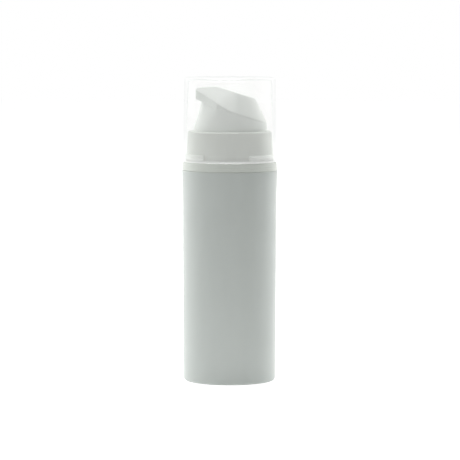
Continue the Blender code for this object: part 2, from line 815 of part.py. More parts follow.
def head_shell(collection, material):
    """The head's outer form: a wall, the beak's overhanging side, the crease and the top."""
    tip_half = BEAK_TIP_W / 2
    top_half = tip_half - BEAK_TIP_EDGE
    body = egg(CREASE_FRONT, CREASE_BACK, CREASE_SIDE, FRONT_POINT)
    foot = beaked(body, BEAK_REACH, tip_half - BEAK_UNDERCUT)
    crease = beaked(body, BEAK_REACH, tip_half)
    edge = beaked(egg(PAD_FRONT, PAD_BACK, PAD_SIDE), BEAK_REACH, top_half)
    pad = egg(PAD_FRONT - PAD_EDGE, PAD_BACK - PAD_EDGE, PAD_SIDE - PAD_EDGE)
    flat = beaked(pad, BEAK_REACH - PAD_EDGE, top_half - PAD_EDGE)
    rings = [
        *wall_rings(0.0, Z_HEAD_SKIRT),
        [(x, y, under_height(x) - BEAK_FILLET) for x, y in body],
        [(x, y, under_height(x)) for x, y in foot],
        [(x, y, crease_height(x)) for x, y in crease],
        [(x, y, top_height(x) - PAD_EDGE) for x, y in edge],
        [(x, y, top_height(x)) for x, y in flat],
    ]
    return loft("actuator", rings, collection, material, fold=BROW_STEPS)


def head_cavity(collection):
    """The hollow of the head, which follows the outer form but not the beak."""
    inner = HEAD_WALL
    crease = egg(CREASE_FRONT - inner, CREASE_BACK - inner, CREASE_SIDE - inner, FRONT_POINT)
    pad = egg(PAD_FRONT - inner, PAD_BACK - inner, PAD_SIDE - inner)
    rings = [
        *wall_rings(inner, Z_HEAD_SKIRT - inner),
        [(x, y, Z_CREASE - CREASE_SLOPE * x - HEAD_BEND_T) for x, y in crease],
        [(x, y, Z_PAD - PAD_SLOPE * x - HEAD_TOP_T) for x, y in pad],
    ]
    return loft("head_cavity", rings, collection)


def actuator(collection, cutters, material):
    """The head: a thin shell with a stem socket, a spring boss and a duct that runs out to the beak."""
    obj = head_shell(collection, material)
    cavity = head_cavity(cutters)
    duct_start = (0.0, 0.0, Z_SOCKET_TOP + DUCT_R)
    duct_end = (-BEAK_REACH + NOZZLE_LEN, 0.0, Z_NOZZLE)
    keep_top = (0.0, 0.0, Z_PAD + HEAD_WALL)
    keeps = [
        rod("duct_wall", DUCT_R + DUCT_WALL, duct_start, duct_end, cutters, DUCT_ROUND),
        rod("socket_tube", SOCKET_R + SOCKET_T, (0.0, 0.0, Z_SOCKET), keep_top, cutters),
        spring_boss(cutters),
    ]
    for keep in keeps:
        combine(cavity, keep, "DIFFERENCE")
    combine(obj, cavity, "DIFFERENCE")
    socket_start, socket_end = (0.0, 0.0, Z_SOCKET - TOUCH), (0.0, 0.0, Z_SOCKET_TOP)
    combine(obj, rod("socket_bore", SOCKET_R, socket_start, socket_end, cutters), "DIFFERENCE")
    riser_start, riser_end = (0.0, 0.0, Z_STEM_TOP), (0.0, 0.0, Z_SOCKET_TOP + 2 * DUCT_R)
    combine(obj, rod("duct_riser", STEM_BORE_R, riser_start, riser_end, cutters), "DIFFERENCE")
    combine(obj, rod("duct_bore", DUCT_R, duct_start, duct_end, cutters, DUCT_ROUND), "DIFFERENCE")
    seat_start = (-BEAK_REACH - TOUCH, 0.0, Z_NOZZLE)
    seat_end = (-BEAK_REACH + NOZZLE_LEN + TOUCH, 0.0, Z_NOZZLE)
    combine(obj, rod("nozzle_seat", NOZZLE_R + RUN, seat_start, seat_end, cutters), "DIFFERENCE")
    return obj


def spring_boss(collection):
    """The tube under the head's top that the return spring presses on."""
    inner, outer = SPRING_R - BOSS_T / 2, SPRING_R + BOSS_T / 2
    top = Z_PAD + HEAD_WALL
    profile = [(outer, top), (outer, Z_BOSS), (inner, Z_BOSS), (inner, top)]
    return turned("spring_boss", profile, collection, segments=INNER_ROUND)


def nozzle_insert(collection, cutters, material):
    start = (-BEAK_REACH, 0.0, Z_NOZZLE)
    end = (-BEAK_REACH + NOZZLE_LEN, 0.0, Z_NOZZLE)
    obj = rod("nozzle_insert", NOZZLE_R, start, end, collection)
    obj.data.materials.append(material)
    hole_start = (start[0] - TOUCH, 0.0, Z_NOZZLE)
    hole_end = (end[0] + TOUCH, 0.0, Z_NOZZLE)
    hole = rod("nozzle_hole", NOZZLE_HOLE_R, hole_start, hole_end, cutters, HOLE_ROUND)
    combine(obj, hole, "DIFFERENCE")
    return obj


def main():
    clear_scene()
    parts = new_collection("airless_pump_bottle")
    cutters = new_collection("cutters")
    cutters.hide_render = True

    white = new_material("bottle_white", (0.57, 0.60, 0.58), 0.42)
    head_white = new_material("head_white", (0.66, 0.70, 0.66), 0.36)
    collar_white = new_material("collar_white", (0.64, 0.68, 0.63), 0.38)
    clear = new_material("overcap_clear", (0.96, 0.97, 0.97), 0.06, alpha=0.25, transmission=0.9)
    natural = new_material("pump_natural", (0.74, 0.76, 0.74), 0.45)
    acetal = new_material("stem_white", (0.72, 0.74, 0.72), 0.35)
    soft = new_material("piston_natural", (0.70, 0.72, 0.70), 0.5)
    gasket = new_material("gasket_white", (0.62, 0.63, 0.61), 0.6)
    steel = new_material("spring_steel", (0.55, 0.55, 0.56), 0.25, metallic=1.0)
    ball = new_material("ball_steel", (0.6, 0.6, 0.61), 0.12, metallic=1.0)

    fixed = [
        bottle(parts, white),
        neck_gasket(parts, gasket),
        pump_housing(parts, natural),
        collar(parts, cutters, collar_white),
        cylinder_gasket(parts, gasket),
        pump_cylinder(parts, natural),
        lock_ring(parts, natural),
        valve_cage(parts, natural),
    ]
    standing = joint_empty("bottle_body", None, 0.0, parts)
    follower_slide = joint_empty("follower_slide", standing, Z_FOLLOWER, parts, FOLLOWER_TRAVEL)
    ball_lift = joint_empty("ball_lift", standing, Z_BALL, parts, BALL_LIFT)
    press = joint_empty("press", standing, Z_STEM, parts, STROKE)
    piston_slip = joint_empty("piston_slip", press, Z_PISTON, parts, LOST_MOTION)
    head_swivel = joint_empty("head_swivel", press, Z_SOCKET_TOP, parts)
    cap_pull = joint_empty("cap_pull", standing, Z_CAP, parts, CAP_TRAVEL)

    for piece in fixed:
        attach(piece, standing)
    attach(follower_piston(parts, soft), follower_slide)
    attach(inlet_ball(parts, ball), ball_lift)
    attach(stem(parts, acetal), press)
    attach(valve_pin(parts, acetal), press)
    attach(return_spring(parts, steel), press)
    attach(main_piston(parts, soft), piston_slip)
    attach(actuator(parts, cutters, head_white), head_swivel)
    attach(nozzle_insert(parts, cutters, head_white), head_swivel)
    attach(overcap(parts, clear), cap_pull)


main()
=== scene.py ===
"""The looks of a white airless pump bottle with a beaked pressing head and a clear overcap.

Every length is in metres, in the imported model's frame: the foot stands on Z = 0, the bottle's axis
is Z, and the spout points along -X. The camera looks along +Y. Sizes that a node's box gives are read
from the frame, and the finer ones are fields of the class whose piece they shape.
"""

from __future__ import annotations

import json
import logging
import math
from dataclasses import dataclass
from enum import Enum
from functools import cache
from typing import Any, Callable, Sequence

import bmesh
import bpy
import numpy as np
from mathutils import Matrix, Vector

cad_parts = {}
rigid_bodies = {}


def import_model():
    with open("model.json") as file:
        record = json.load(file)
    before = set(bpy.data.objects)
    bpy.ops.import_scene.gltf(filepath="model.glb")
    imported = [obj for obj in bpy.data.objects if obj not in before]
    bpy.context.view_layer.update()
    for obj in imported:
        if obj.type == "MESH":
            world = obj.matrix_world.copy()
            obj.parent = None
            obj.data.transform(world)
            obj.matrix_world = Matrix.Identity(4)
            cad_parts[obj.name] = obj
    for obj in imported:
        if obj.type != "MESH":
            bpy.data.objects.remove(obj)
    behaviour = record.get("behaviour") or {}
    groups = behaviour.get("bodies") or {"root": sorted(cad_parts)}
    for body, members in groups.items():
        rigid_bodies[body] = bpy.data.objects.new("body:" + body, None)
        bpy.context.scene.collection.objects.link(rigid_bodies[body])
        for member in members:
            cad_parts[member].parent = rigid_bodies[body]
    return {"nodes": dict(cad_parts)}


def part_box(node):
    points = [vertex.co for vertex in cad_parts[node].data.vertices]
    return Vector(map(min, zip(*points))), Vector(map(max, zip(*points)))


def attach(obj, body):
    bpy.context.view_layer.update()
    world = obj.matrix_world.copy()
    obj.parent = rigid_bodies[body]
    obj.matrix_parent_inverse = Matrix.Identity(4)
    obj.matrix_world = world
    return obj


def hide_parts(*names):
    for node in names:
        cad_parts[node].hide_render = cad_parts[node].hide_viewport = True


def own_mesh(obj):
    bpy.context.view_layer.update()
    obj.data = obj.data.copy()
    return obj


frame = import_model()

Point = tuple[float, float, float]
Plan = list[tuple[float, float]]
Colour = tuple[float, float, float]
# A corner of an outline: its radius, its height and the radius of its fillet.
Corner = tuple[float, float, float]

LOG = logging.getLogger("pump_bottle")
MERGE = 1e-6
SHARP_ANGLE = math.radians(32)
STRAIGHT = math.radians(179)
# The most that a fillet, or a rounding of a lofted form, takes of the side that it lies on.
FILLET_SHARE = 0.48
BLEND_SHARE = 0.45
# The exponent that makes a power curve an ellipse.
ELLIPSE = 2.0
NOISE_MIDDLE = 0.5
NOISE_ROUGHNESS = 0.55
EVEN: Point = (1.0, 1.0, 1.0)
UPWARDS: Point = (0.0, 0.0, 1.0)
SEEING = ("Is Camera Ray", "Is Glossy Ray", "Is Transmission Ray")


class Body(Enum):
    """The moving bodies that this script's own pieces ride on."""

    BOTTLE = "bottle"
    HEAD = "head"
    OVERCAP = "overcap"


class Slot(Enum):
    """The record's material slots."""

    BOTTLE = "bottle_white"
    COLLAR = "collar_white"
    HEAD = "head_white"
    OVERCAP = "overcap_clear"
    PUMP = "pump_natural"
    STEM = "stem_white"
    PISTON = "piston_natural"
    GASKET = "gasket_white"
    SPRING = "spring_steel"
    BALL = "ball_steel"


def linear(colour: Colour) -> tuple[float, float, float, float]:
    """Turns a screen colour, from 0 to 255, into the linear one with an alpha that a shader takes."""
    shares = [value / 255 for value in colour]
    return *(s / 12.92 if s <= 0.04045 else ((s + 0.055) / 1.055) ** 2.4 for s in shares), 1.0


class Graph:
    """A node tree, with one method that adds any node to it."""

    def __init__(self, tree: bpy.types.NodeTree) -> None:
        """Takes the shader or geometry node tree to add nodes to."""
        self.tree = tree

    def node(self, kind: str, inputs: dict[Any, Any] | None = None, **settings: Any) -> bpy.types.Node:
        """Adds a node.

        Args:
            kind: The node's type.
            inputs: What each input takes, by name or number; see feed.
            settings: Values set on the node itself, before its sockets.

        Returns:
            The new node.
        """
        made = self.tree.nodes.new(kind)
        for key, value in settings.items():
            setattr(made, key, value)
        for key, value in (inputs or {}).items():
            self.feed(made.inputs[key], value)
        return made

    def feed(self, socket: bpy.types.NodeSocket, value: Any) -> None:
        """Sets a socket to a value, or links it.

        Args:
            socket: The input socket.
            value: A plain value, or what to link: a Wire, an output socket or a node with one output.
        """
        if isinstance(value, Wire):
            value = value.socket
        if isinstance(value, bpy.types.Node):
            value = value.outputs[0]
        if isinstance(value, bpy.types.NodeSocket):
            self.tree.links.new(value, socket)
        else:
            socket.default_value = value

    def maths(self, operation: str, *values: Any) -> Wire:
        """Adds a Math node with the given inputs, in order, and gives its result."""
        made = self.node("ShaderNodeMath", dict(enumerate(values)), operation=operation)
        return Wire(self, made.outputs[0])


@dataclass(frozen=True)
class Wire:
    """A number that flows between nodes; arithmetic on it adds Math nodes."""

    graph: Graph
    socket: bpy.types.NodeSocket

    def __add__(self, other: Any) -> Wire:
        """Adds."""
        return self.graph.maths("ADD", self, other)

    def __radd__(self, other: Any) -> Wire:
        """Adds, with the wire on the right."""
        return self.graph.maths("ADD", other, self)

    def __sub__(self, other: Any) -> Wire:
        """Subtracts."""
        return self.graph.maths("SUBTRACT", self, other)

    def __rsub__(self, other: Any) -> Wire:
        """Subtracts, with the wire on the right."""
        return self.graph.maths("SUBTRACT", other, self)

    def __mul__(self, other: Any) -> Wire:
        """Multiplies."""
        return self.graph.maths("MULTIPLY", self, other)

    def __rmul__(self, other: Any) -> Wire:
        """Multiplies, with the wire on the right."""
        return self.graph.maths("MULTIPLY", other, self)

    def __pow__(self, power: Any) -> Wire:
        """Raises to a power."""
        return self.graph.maths("POWER", self, power)


class Shader(Graph):
    """A new material's node tree."""

    # The Mix node's colour sockets, by number, because its other sockets have the same names.
    COLOUR_A = 6
    COLOUR_B = 7
    COLOUR_OUT = 2

    def __init__(self, name: str) -> None:
        """Makes the material.

        Args:
            name: The material's name.
        """
        self.material = bpy.data.materials.new(name)
        self.material.use_nodes = True
        super().__init__(self.material.node_tree)
        self.surface = self.tree.nodes["Principled BSDF"]

    def place(self, stretch: Point = EVEN) -> bpy.types.Node:
        """Gives the point on the piece in metres, times a factor on each axis."""
        point = self.node("ShaderNodeTexCoord").outputs["Object"]
        return self.node("ShaderNodeMapping", {"Vector": point, "Scale": stretch})

    def noise(self, size: float, detail: float = 2.0, stretch: Point = EVEN) -> Wire:
        """Gives a random value from 0 to 1, in patches of a size in metres with some finer layers."""
        look = {"Scale": 1 / size, "Detail": detail, "Roughness": NOISE_ROUGHNESS}
        return Wire(self, self.node("ShaderNodeTexNoise", {"Vector": self.place(stretch), **look}).outputs[0])

    def tint(self, share: Wire, low: Colour, high: Colour) -> bpy.types.NodeSocket:
        """Blends two colours: the first where the share is 0, and the second where it is 1."""
        inputs = {0: share, self.COLOUR_A: linear(low), self.COLOUR_B: linear(high)}
        return self.node("ShaderNodeMix", inputs, data_type="RGBA").outputs[self.COLOUR_OUT]

    def relief(self, height: Wire, depth: float) -> bpy.types.Node:
        """Gives the Normal of a surface with fine relief, as deep as given in metres."""
        return self.node("ShaderNodeBump", {"Strength": 1.0, "Distance": depth, "Height": height})

    def blend(self, share: Wire, first: Any, second: Any) -> bpy.types.Node:
        """Mixes two shaders: the first where the share is 0, and the second where it is 1."""
        return self.node("ShaderNodeMixShader", {0: share, 1: first, 2: second})

    def show(self, shader: bpy.types.Node) -> bpy.types.Material:
        """Makes another shader the surface, and gives the material."""
        self.feed(self.tree.nodes["Material Output"].inputs["Surface"], shader)
        return self.material

    def dress(self, **sockets: Any) -> bpy.types.Material:
        """Sets sockets of the surface shader.

        Args:
            sockets: Values or wires by socket name, with _ for a space.

        Returns:
            The material.
        """
        for name, value in sockets.items():
            self.feed(self.surface.inputs[name.replace("_", " ")], value)
        return self.material


@dataclass(frozen=True)
class MouldedPlastic:
    """An injection-moulded plastic: a fine grain, faint flow marks and a slightly uneven tone."""

    name: str
    light: Colour
    dark: Colour
    roughness: float
    unevenness: float = 0.012
    grain: float = 0.00045
    grain_depth: float = 0.000006
    flow: float = 0.006
    flow_stretch: Point = (1.0, 1.0, 0.18)
    flow_share: float = 0.3
    roughness_spread: float = 0.05
    refraction: float = 1.49

    def material(self) -> bpy.types.Material:
        """Builds the finish.

        Returns:
            The material.
        """
        shader = Shader(self.name)
        cloud = shader.noise(self.unevenness, detail=3.0)
        flow = shader.noise(self.flow, stretch=self.flow_stretch)
        tone = (1 - self.flow_share) * cloud + self.flow_share * flow
        return shader.dress(
            Base_Color=shader.tint(tone, self.dark, self.light),
            Roughness=self.roughness_spread * (flow - NOISE_MIDDLE) + self.roughness,
            Normal=shader.relief(shader.noise(self.grain), self.grain_depth),
            IOR=self.refraction,
        )


@dataclass(frozen=True)
class ClearPlastic:
    """A thin clear wall: it lets the view through and reflects more the flatter it is seen, with a highlight
    painted along its rim.
    """

    name: str
    through: Colour
    edge: Colour
    roughness: float
    sheen: Colour = (254, 254, 254)
    facing_gloss: float = 0.1
    grazing_gloss: float = 0.3
    edge_power: float = 5.0
    ripple: float = 0.009
    ripple_depth: float = 0.000006
    ripple_stretch: Point = (1.0, 1.0, 0.35)
    # A band along the rim is painted with a highlight: the cap reflects more there, standing in for light
    # that the wall carries to its edge.
    rim_height: float = 0.0809
    rim_width: float = 0.0014
    rim_painted_highlight: float = 0.36

    def material(self) -> bpy.types.Material:
        """Builds the finish.

        Returns:
            The material.
        """
        shader = Shader(self.name)
        ripple = shader.noise(self.ripple, detail=1.0, stretch=self.ripple_stretch)
        shader.dress(
            Base_Color=linear(self.sheen),
            Roughness=self.roughness,
            Metallic=1.0,
            Normal=shader.relief(ripple, self.ripple_depth),
        )
        grazing = Wire(shader, shader.node("ShaderNodeLayerWeight").outputs["Facing"]) ** self.edge_power
        thin = shader.node("ShaderNodeBsdfTransparent", {"Color": linear(self.through)})
        thick = shader.node("ShaderNodeBsdfTransparent", {"Color": linear(self.edge)})
        height = shader.node("ShaderNodeSeparateXYZ", {0: shader.place()}).outputs["Z"]
        # Painted highlight: the share of reflection rises towards the rim.
        rise = (Wire(shader, height) - self.rim_height) * (1 / self.rim_width)
        rim = shader.maths("MINIMUM", shader.maths("MAXIMUM", 1.0 - rise, 0.0), 1.0)
        gloss_and_painted_rim = self.grazing_gloss * grazing + self.facing_gloss
        gloss_and_painted_rim = shader.maths("MAXIMUM", gloss_and_painted_rim, self.rim_painted_highlight * rim)
        return shader.show(shader.blend(gloss_and_painted_rim, shader.blend(grazing, thin, thick), shader.surface))


@dataclass(frozen=True)
class DrawnSteel:
    """Bright steel with fine marks from drawing or polishing."""

    name: str
    light: Colour
    dark: Colour
    roughness: float
    mark: float = 0.0003
    mark_depth: float = 0.000004
    mark_stretch: Point = (1.0, 1.0, 0.4)
    roughness_spread: float = 0.12

    def material(self) -> bpy.types.Material:
        """Builds the finish.

        Returns:
            The material.
        """
        shader = Shader(self.name)
        marks = shader.noise(self.mark, detail=3.0, stretch=self.mark_stretch)
        return shader.dress(
            Base_Color=shader.tint(marks, self.dark, self.light),
            Roughness=self.roughness_spread * (marks - NOISE_MIDDLE) + self.roughness,
            Metallic=1.0,
            Normal=shader.relief(marks, self.mark_depth),
        )


FINISHES = {
    Slot.BOTTLE: MouldedPlastic("bottle_white", (197, 203, 199), (192, 198, 194), 0.4),
    Slot.COLLAR: MouldedPlastic("collar_white", (211, 216, 209), (206, 211, 204), 0.34),
    Slot.HEAD: MouldedPlastic("head_white", (226, 231, 226), (221, 226, 221), 0.34),
    Slot.OVERCAP: ClearPlastic("overcap_clear", (253.6, 253.6, 253.4), (244, 246, 245), 0.12),
    Slot.PUMP: MouldedPlastic("pump_natural", (226, 229, 224), (217, 221, 215), 0.42),
    Slot.STEM: MouldedPlastic("stem_white", (229, 231, 228), (222, 225, 221), 0.3),
    Slot.PISTON: MouldedPlastic("piston_natural", (222, 224, 218), (212, 215, 208), 0.5),
    Slot.GASKET: MouldedPlastic("gasket_white", (214, 214, 208), (203, 204, 197), 0.62, grain=0.0003),
    Slot.SPRING: DrawnSteel("spring_steel", (206, 206, 208), (182, 182, 185), 0.26),
    Slot.BALL: DrawnSteel("ball_steel", (214, 214, 216), (200, 200, 203), 0.12, mark_depth=0.000001),
}


@cache
def material_of(slot: Slot) -> bpy.types.Material:
    """Gives a slot's material, which is built when it is first asked for."""
    return FINISHES[slot].material()


def new_object(name: str, data: bpy.types.ID) -> bpy.types.Object:
    """Puts a mesh, a lamp or a camera in the scene.

    Args:
        name: The object's name.
        data: What it holds.

    Returns:
        The object, at the origin.
    """
    obj = bpy.data.objects.new(name, data)
    bpy.context.scene.collection.objects.link(obj)
    return obj


def from_bmesh(name: str, bm: bmesh.types.BMesh) -> bpy.types.Object:
    """Makes an object of a mesh under construction.

    Args:
        name: The object's name.
        bm: The mesh, which is freed.

    Returns:
        The object.
    """
    mesh = bpy.data.meshes.new(name)
    bm.to_mesh(mesh)
    bm.free()
    return new_object(name, mesh)


def apply_modifiers(obj: bpy.types.Object) -> None:
    """Turns an object's modifiers into its mesh.

    Args:
        obj: The object, which has no modifier left.
    """
    bpy.context.view_layer.update()
    graph = bpy.context.evaluated_depsgraph_get()
    mesh = bpy.data.meshes.new_from_object(obj.evaluated_get(graph))
    obj.modifiers.clear()
    obj.data = mesh


def settle(obj: bpy.types.Object) -> bpy.types.Object:
    """Makes a piece a plain mesh with closed seams, outward faces and even shading.

    Args:
        obj: The piece.

    Returns:
        The same piece.
    """
    apply_modifiers(obj)
    bm = bmesh.new()
    bm.from_mesh(obj.data)
    bmesh.ops.remove_doubles(bm, verts=bm.verts, dist=MERGE)
    bmesh.ops.dissolve_degenerate(bm, edges=bm.edges, dist=MERGE)
    bmesh.ops.recalc_face_normals(bm, faces=bm.faces)
    if bm.calc_volume(signed=True) < 0:
        bmesh.ops.reverse_faces(bm, faces=bm.faces)
    bm.to_mesh(obj.data)
    bm.free()
    obj.data.shade_smooth()
    obj.data.set_sharp_from_angle(angle=SHARP_ANGLE)
    return obj


def finish_piece(obj: bpy.types.Object, body: Body, slot: Slot, *nodes: str) -> None:
    """Says what a finished piece rides on and replaces.

    Args:
        obj: The piece.
        body: The body that it moves with.
        slot: Its material slot; not used.
        nodes: The CAD nodes that it stands for.
    """
    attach(obj, body.value)
    if nodes:
        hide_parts(*nodes)
    LOG.info("%s: %d faces, on body %s", obj.name, len(obj.data.polygons), body.value)


def rounded(corners: Sequence[Corner], closed: bool, steps: int) -> list[tuple[float, float]]:
    """Rounds the corners of an outline.

    Args:
        corners: Radius, height and fillet of each corner, in order.
        closed: Whether the last corner joins the first.
        steps: Straight steps in each fillet.

    Returns:
        The outline's points as radius and height.
    """
    points: list[tuple[float, float]] = []
    count = len(corners)
    for i, (radius, height, fillet) in enumerate(corners):
        at_end = not closed and i in (0, count - 1)
        here = Vector((radius, height))
        back = Vector(corners[i - 1][:2]) - here
        ahead = Vector(corners[(i + 1) % count][:2]) - here
        turn = back.angle(ahead, math.pi) if back.length and ahead.length else math.pi
        if at_end or fillet <= 0 or turn > STRAIGHT:
            points.append((radius, height))
            continue
        slope = math.tan(turn / 2)
        reach = min(fillet / slope, FILLET_SHARE * back.length, FILLET_SHARE * ahead.length)
        back.normalize()
        ahead.normalize()
        centre = here + (back + ahead).normalized() * (reach * slope / math.sin(turn / 2))
        first = here + back * reach - centre
        last = here + ahead * reach - centre
        sweep = first.angle_signed(last)
        for step in range(steps + 1):
            spoke = Matrix.Rotation(-sweep * step / steps, 2) @ first
            points.append((centre.x + spoke.x, centre.y + spoke.y))
    return points


class PieceTree(Graph):
    """A geometry node tree that makes one piece of a drawn shape, a finish and named sizes."""

    def __init__(self, name: str, **kinds: str) -> None:
        """Starts the tree.

        Args:
            name: The tree's name.
            kinds: The kind of each size among its inputs, by name.
        """
        super().__init__(bpy.data.node_groups.new(name, "GeometryNodeTree"))
        face = self.tree.interface
        face.new_socket("Shape", in_out="INPUT", socket_type="NodeSocketGeometry")
        self.ids: dict[str, str] = {}
        for key, kind in {**kinds, "Finish": "Material"}.items():
            socket = face.new_socket(key, in_out="INPUT", socket_type=f"NodeSocket{kind}")
            self.ids[key] = socket.identifier
        face.new_socket("Piece", in_out="OUTPUT", socket_type="NodeSocketGeometry")
        self.given = self.node("NodeGroupInput").outputs

    def end(self, piece: bpy.types.Node) -> None:
        """Ends the tree: the piece is made real and takes its finish.

        Args:
            piece: The node that gives the piece.
        """
        real = self.node("GeometryNodeRealizeInstances", {"Geometry": piece})
        dressed = self.node("GeometryNodeSetMaterial", {"Geometry": real, "Material": self.given["Finish"]})
        self.node("NodeGroupOutput", {0: dressed})

    def make(self, name: str, shape: Sequence[Point], closed: bool, **values: Any) -> bpy.types.Object:
        """Makes a piece.

        Args:
            name: The piece's name.
            shape: The points of the line that the tree starts from, if any.
            closed: Whether the last point joins the first.
            values: The tree's sizes and finish by name.

        Returns:
            The piece, as a plain mesh.
        """
        count = len(shape)
        edges = [(i, (i + 1) % count) for i in range(count if closed else count - 1)]
        mesh = bpy.data.meshes.new(name)
        mesh.from_pydata(shape, edges, [])
        obj = new_object(name, mesh)
        modifier = obj.modifiers.new("Form", "NODES")
        modifier.node_group = self.tree
        for key, value in values.items():
            modifier[self.ids[key]] = value
        return settle(obj)


class Lathe(PieceTree):
    """Turns an outline round the axis, for every turned piece of the bottle."""

    # The radius of the circle that carries the outline, which is drawn in by as much.
    PITCH = 0.01

    def __init__(self) -> None:
        """Builds the tree: an outline swept round a circle, its poles merged."""
        super().__init__("turned_piece", Steps="Int")
        outline = self.node("GeometryNodeMeshToCurve", {"Mesh": self.given["Shape"]})
        parts = self.node("ShaderNodeSeparateXYZ", {0: self.node("GeometryNodeInputPosition")}).outputs
        across, down = Wire(self, parts["X"]) - self.PITCH, Wire(self, parts["Z"]) * -1.0
        moved = self.node("ShaderNodeCombineXYZ", {"X": across, "Y": down})
        section = self.node("GeometryNodeSetPosition", {"Geometry": outline, "Position": moved})
        size = {"Resolution": self.given["Steps"], "Radius": self.PITCH}
        circle = self.node("GeometryNodeCurvePrimitiveCircle", size, mode="RADIUS")
        wall = self.node("GeometryNodeCurveToMesh", {"Curve": circle, "Profile Curve": section})
        self.end(self.node("GeometryNodeMergeByDistance", {"Geometry": wall, "Distance": MERGE}))

    def turn(
        self, name: str, corners: list[Corner], slot: Slot, fillet_steps: int, steps: int = 192
    ) -> bpy.types.Object:
        """Turns an outline into a piece.

        Args:
            name: The piece's name.
            corners: Radius, height and fillet of each corner; open if both ends lie on the axis.
            slot: The slot of its finish.
            fillet_steps: Straight steps in each fillet.
            steps: Faces round the axis.

        Returns:
            The piece, as a plain mesh.
        """
        closed = not (corners[0][0] == 0 and corners[-1][0] == 0)
        shape = [(radius, 0.0, height) for radius, height in rounded(corners, closed, fillet_steps)]
        return self.make(name, shape, closed, Steps=steps, Finish=material_of(slot))


@dataclass
class Bottle:
    """The one-piece body: flat foot with a recess and a vent, straight wall, slight flare at the mouth."""

    lathe: Lathe
    bore: float = 0.0156
    wall_foot: float = 0.0013
    wall_mid: float = 0.00163
    wall_round: float = 0.08
    wall_flare: float = 0.00181
    flare_height: float = 0.0116
    flare_bend: float = 0.00406
    flare_round: float = 0.04
    foot_ring: float = 0.0026
    foot_recess: float = 0.0012
    floor: float = 0.0013
    vent: float = 0.0024
    rebate_width: float = 0.0011
    rebate_depth: float = 0.0007
    foot_edge: float = 0.0011
    ring_edge: float = 0.00045
    floor_edge: float = 0.00075
    edge: float = 0.00015

    def outline(self) -> list[Corner]:
        """Draws the wall's section.

        Returns:
            Its corners, down the outside and up the inside.
        """
        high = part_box("bottle")[1]
        foot = self.bore + self.wall_foot
        inner_floor = self.foot_recess + self.floor
        ring = foot - self.foot_ring
        rebate, seat = self.bore + self.rebate_width, high.z - self.rebate_depth
        return [
            (high.x, high.z, self.edge),
            (self.bore + self.wall_flare, high.z - self.flare_bend, self.flare_round),
            (self.bore + self.wall_mid, high.z - self.flare_height, self.wall_round),
            (foot, 0.0, self.foot_edge),
            (ring, 0.0, self.ring_edge),
            (ring - self.foot_recess / 2, self.foot_recess, self.ring_edge),
            (self.vent, self.foot_recess, self.edge),
            (self.vent, inner_floor, self.edge),
            (self.bore, inner_floor, self.floor_edge),
            (self.bore, seat, self.edge),
            (rebate, seat, 0.0),
            (rebate, high.z, self.edge / 2),
        ]

    def build(self) -> None:
        """Makes and dresses the body."""
        piece = self.lathe.turn("bottle_body", self.outline(), Slot.BOTTLE, fillet_steps=6)
        finish_piece(piece, Body.BOTTLE, Slot.BOTTLE, "bottle")


class BeadTree(PieceTree):
    """Sets equal raised beads round a wall."""

    # How late a bead thins towards its ends, and the square of the least that it thins to.
    END_POWER = 24.0
    END_LEAST = 0.02

    def __init__(self) -> None:
        """Builds the tree: one swept bead, copied to points turned evenly round the axis."""
        super().__init__("cap_beads", Count="Int", First="Float", Sweep="Float", Radius="Float", Steps="Int")
        count, sweep = self.given["Count"], Wire(self, self.given["Sweep"])
        section = self.node("GeometryNodeMeshToCurve", {"Mesh": self.given["Shape"]})
        size = {"Resolution": self.given["Steps"], "Radius": self.given["Radius"]}
        reach = {"Start Angle": sweep * -0.5, "Sweep Angle": sweep}
        arc = self.node("GeometryNodeCurveArc", {**size, **reach}, mode="RADIUS")
        along = Wire(self, self.node("GeometryNodeSplineParameter").outputs["Factor"])
        from_middle = self.maths("ABSOLUTE", along * 2.0 - 1.0)
        taper = self.maths("SQRT", self.maths("MAXIMUM", 1.0 - from_middle**self.END_POWER, self.END_LEAST))
        swept = {"Curve": arc, "Profile Curve": section, "Scale": taper, "Fill Caps": True}
        bead = self.node("GeometryNodeCurveToMesh", swept)
        index = Wire(self, self.node("GeometryNodeInputIndex").outputs[0])
        angle = index * self.maths("DIVIDE", 2 * math.pi, count) + self.given["First"]
        turn = self.node("ShaderNodeCombineXYZ", {"Z": angle})
        points = self.node("GeometryNodePoints", {"Count": count})
        copies = {"Points": points, "Instance": bead, "Rotation": turn}
        self.end(self.node("GeometryNodeInstanceOnPoints", copies))


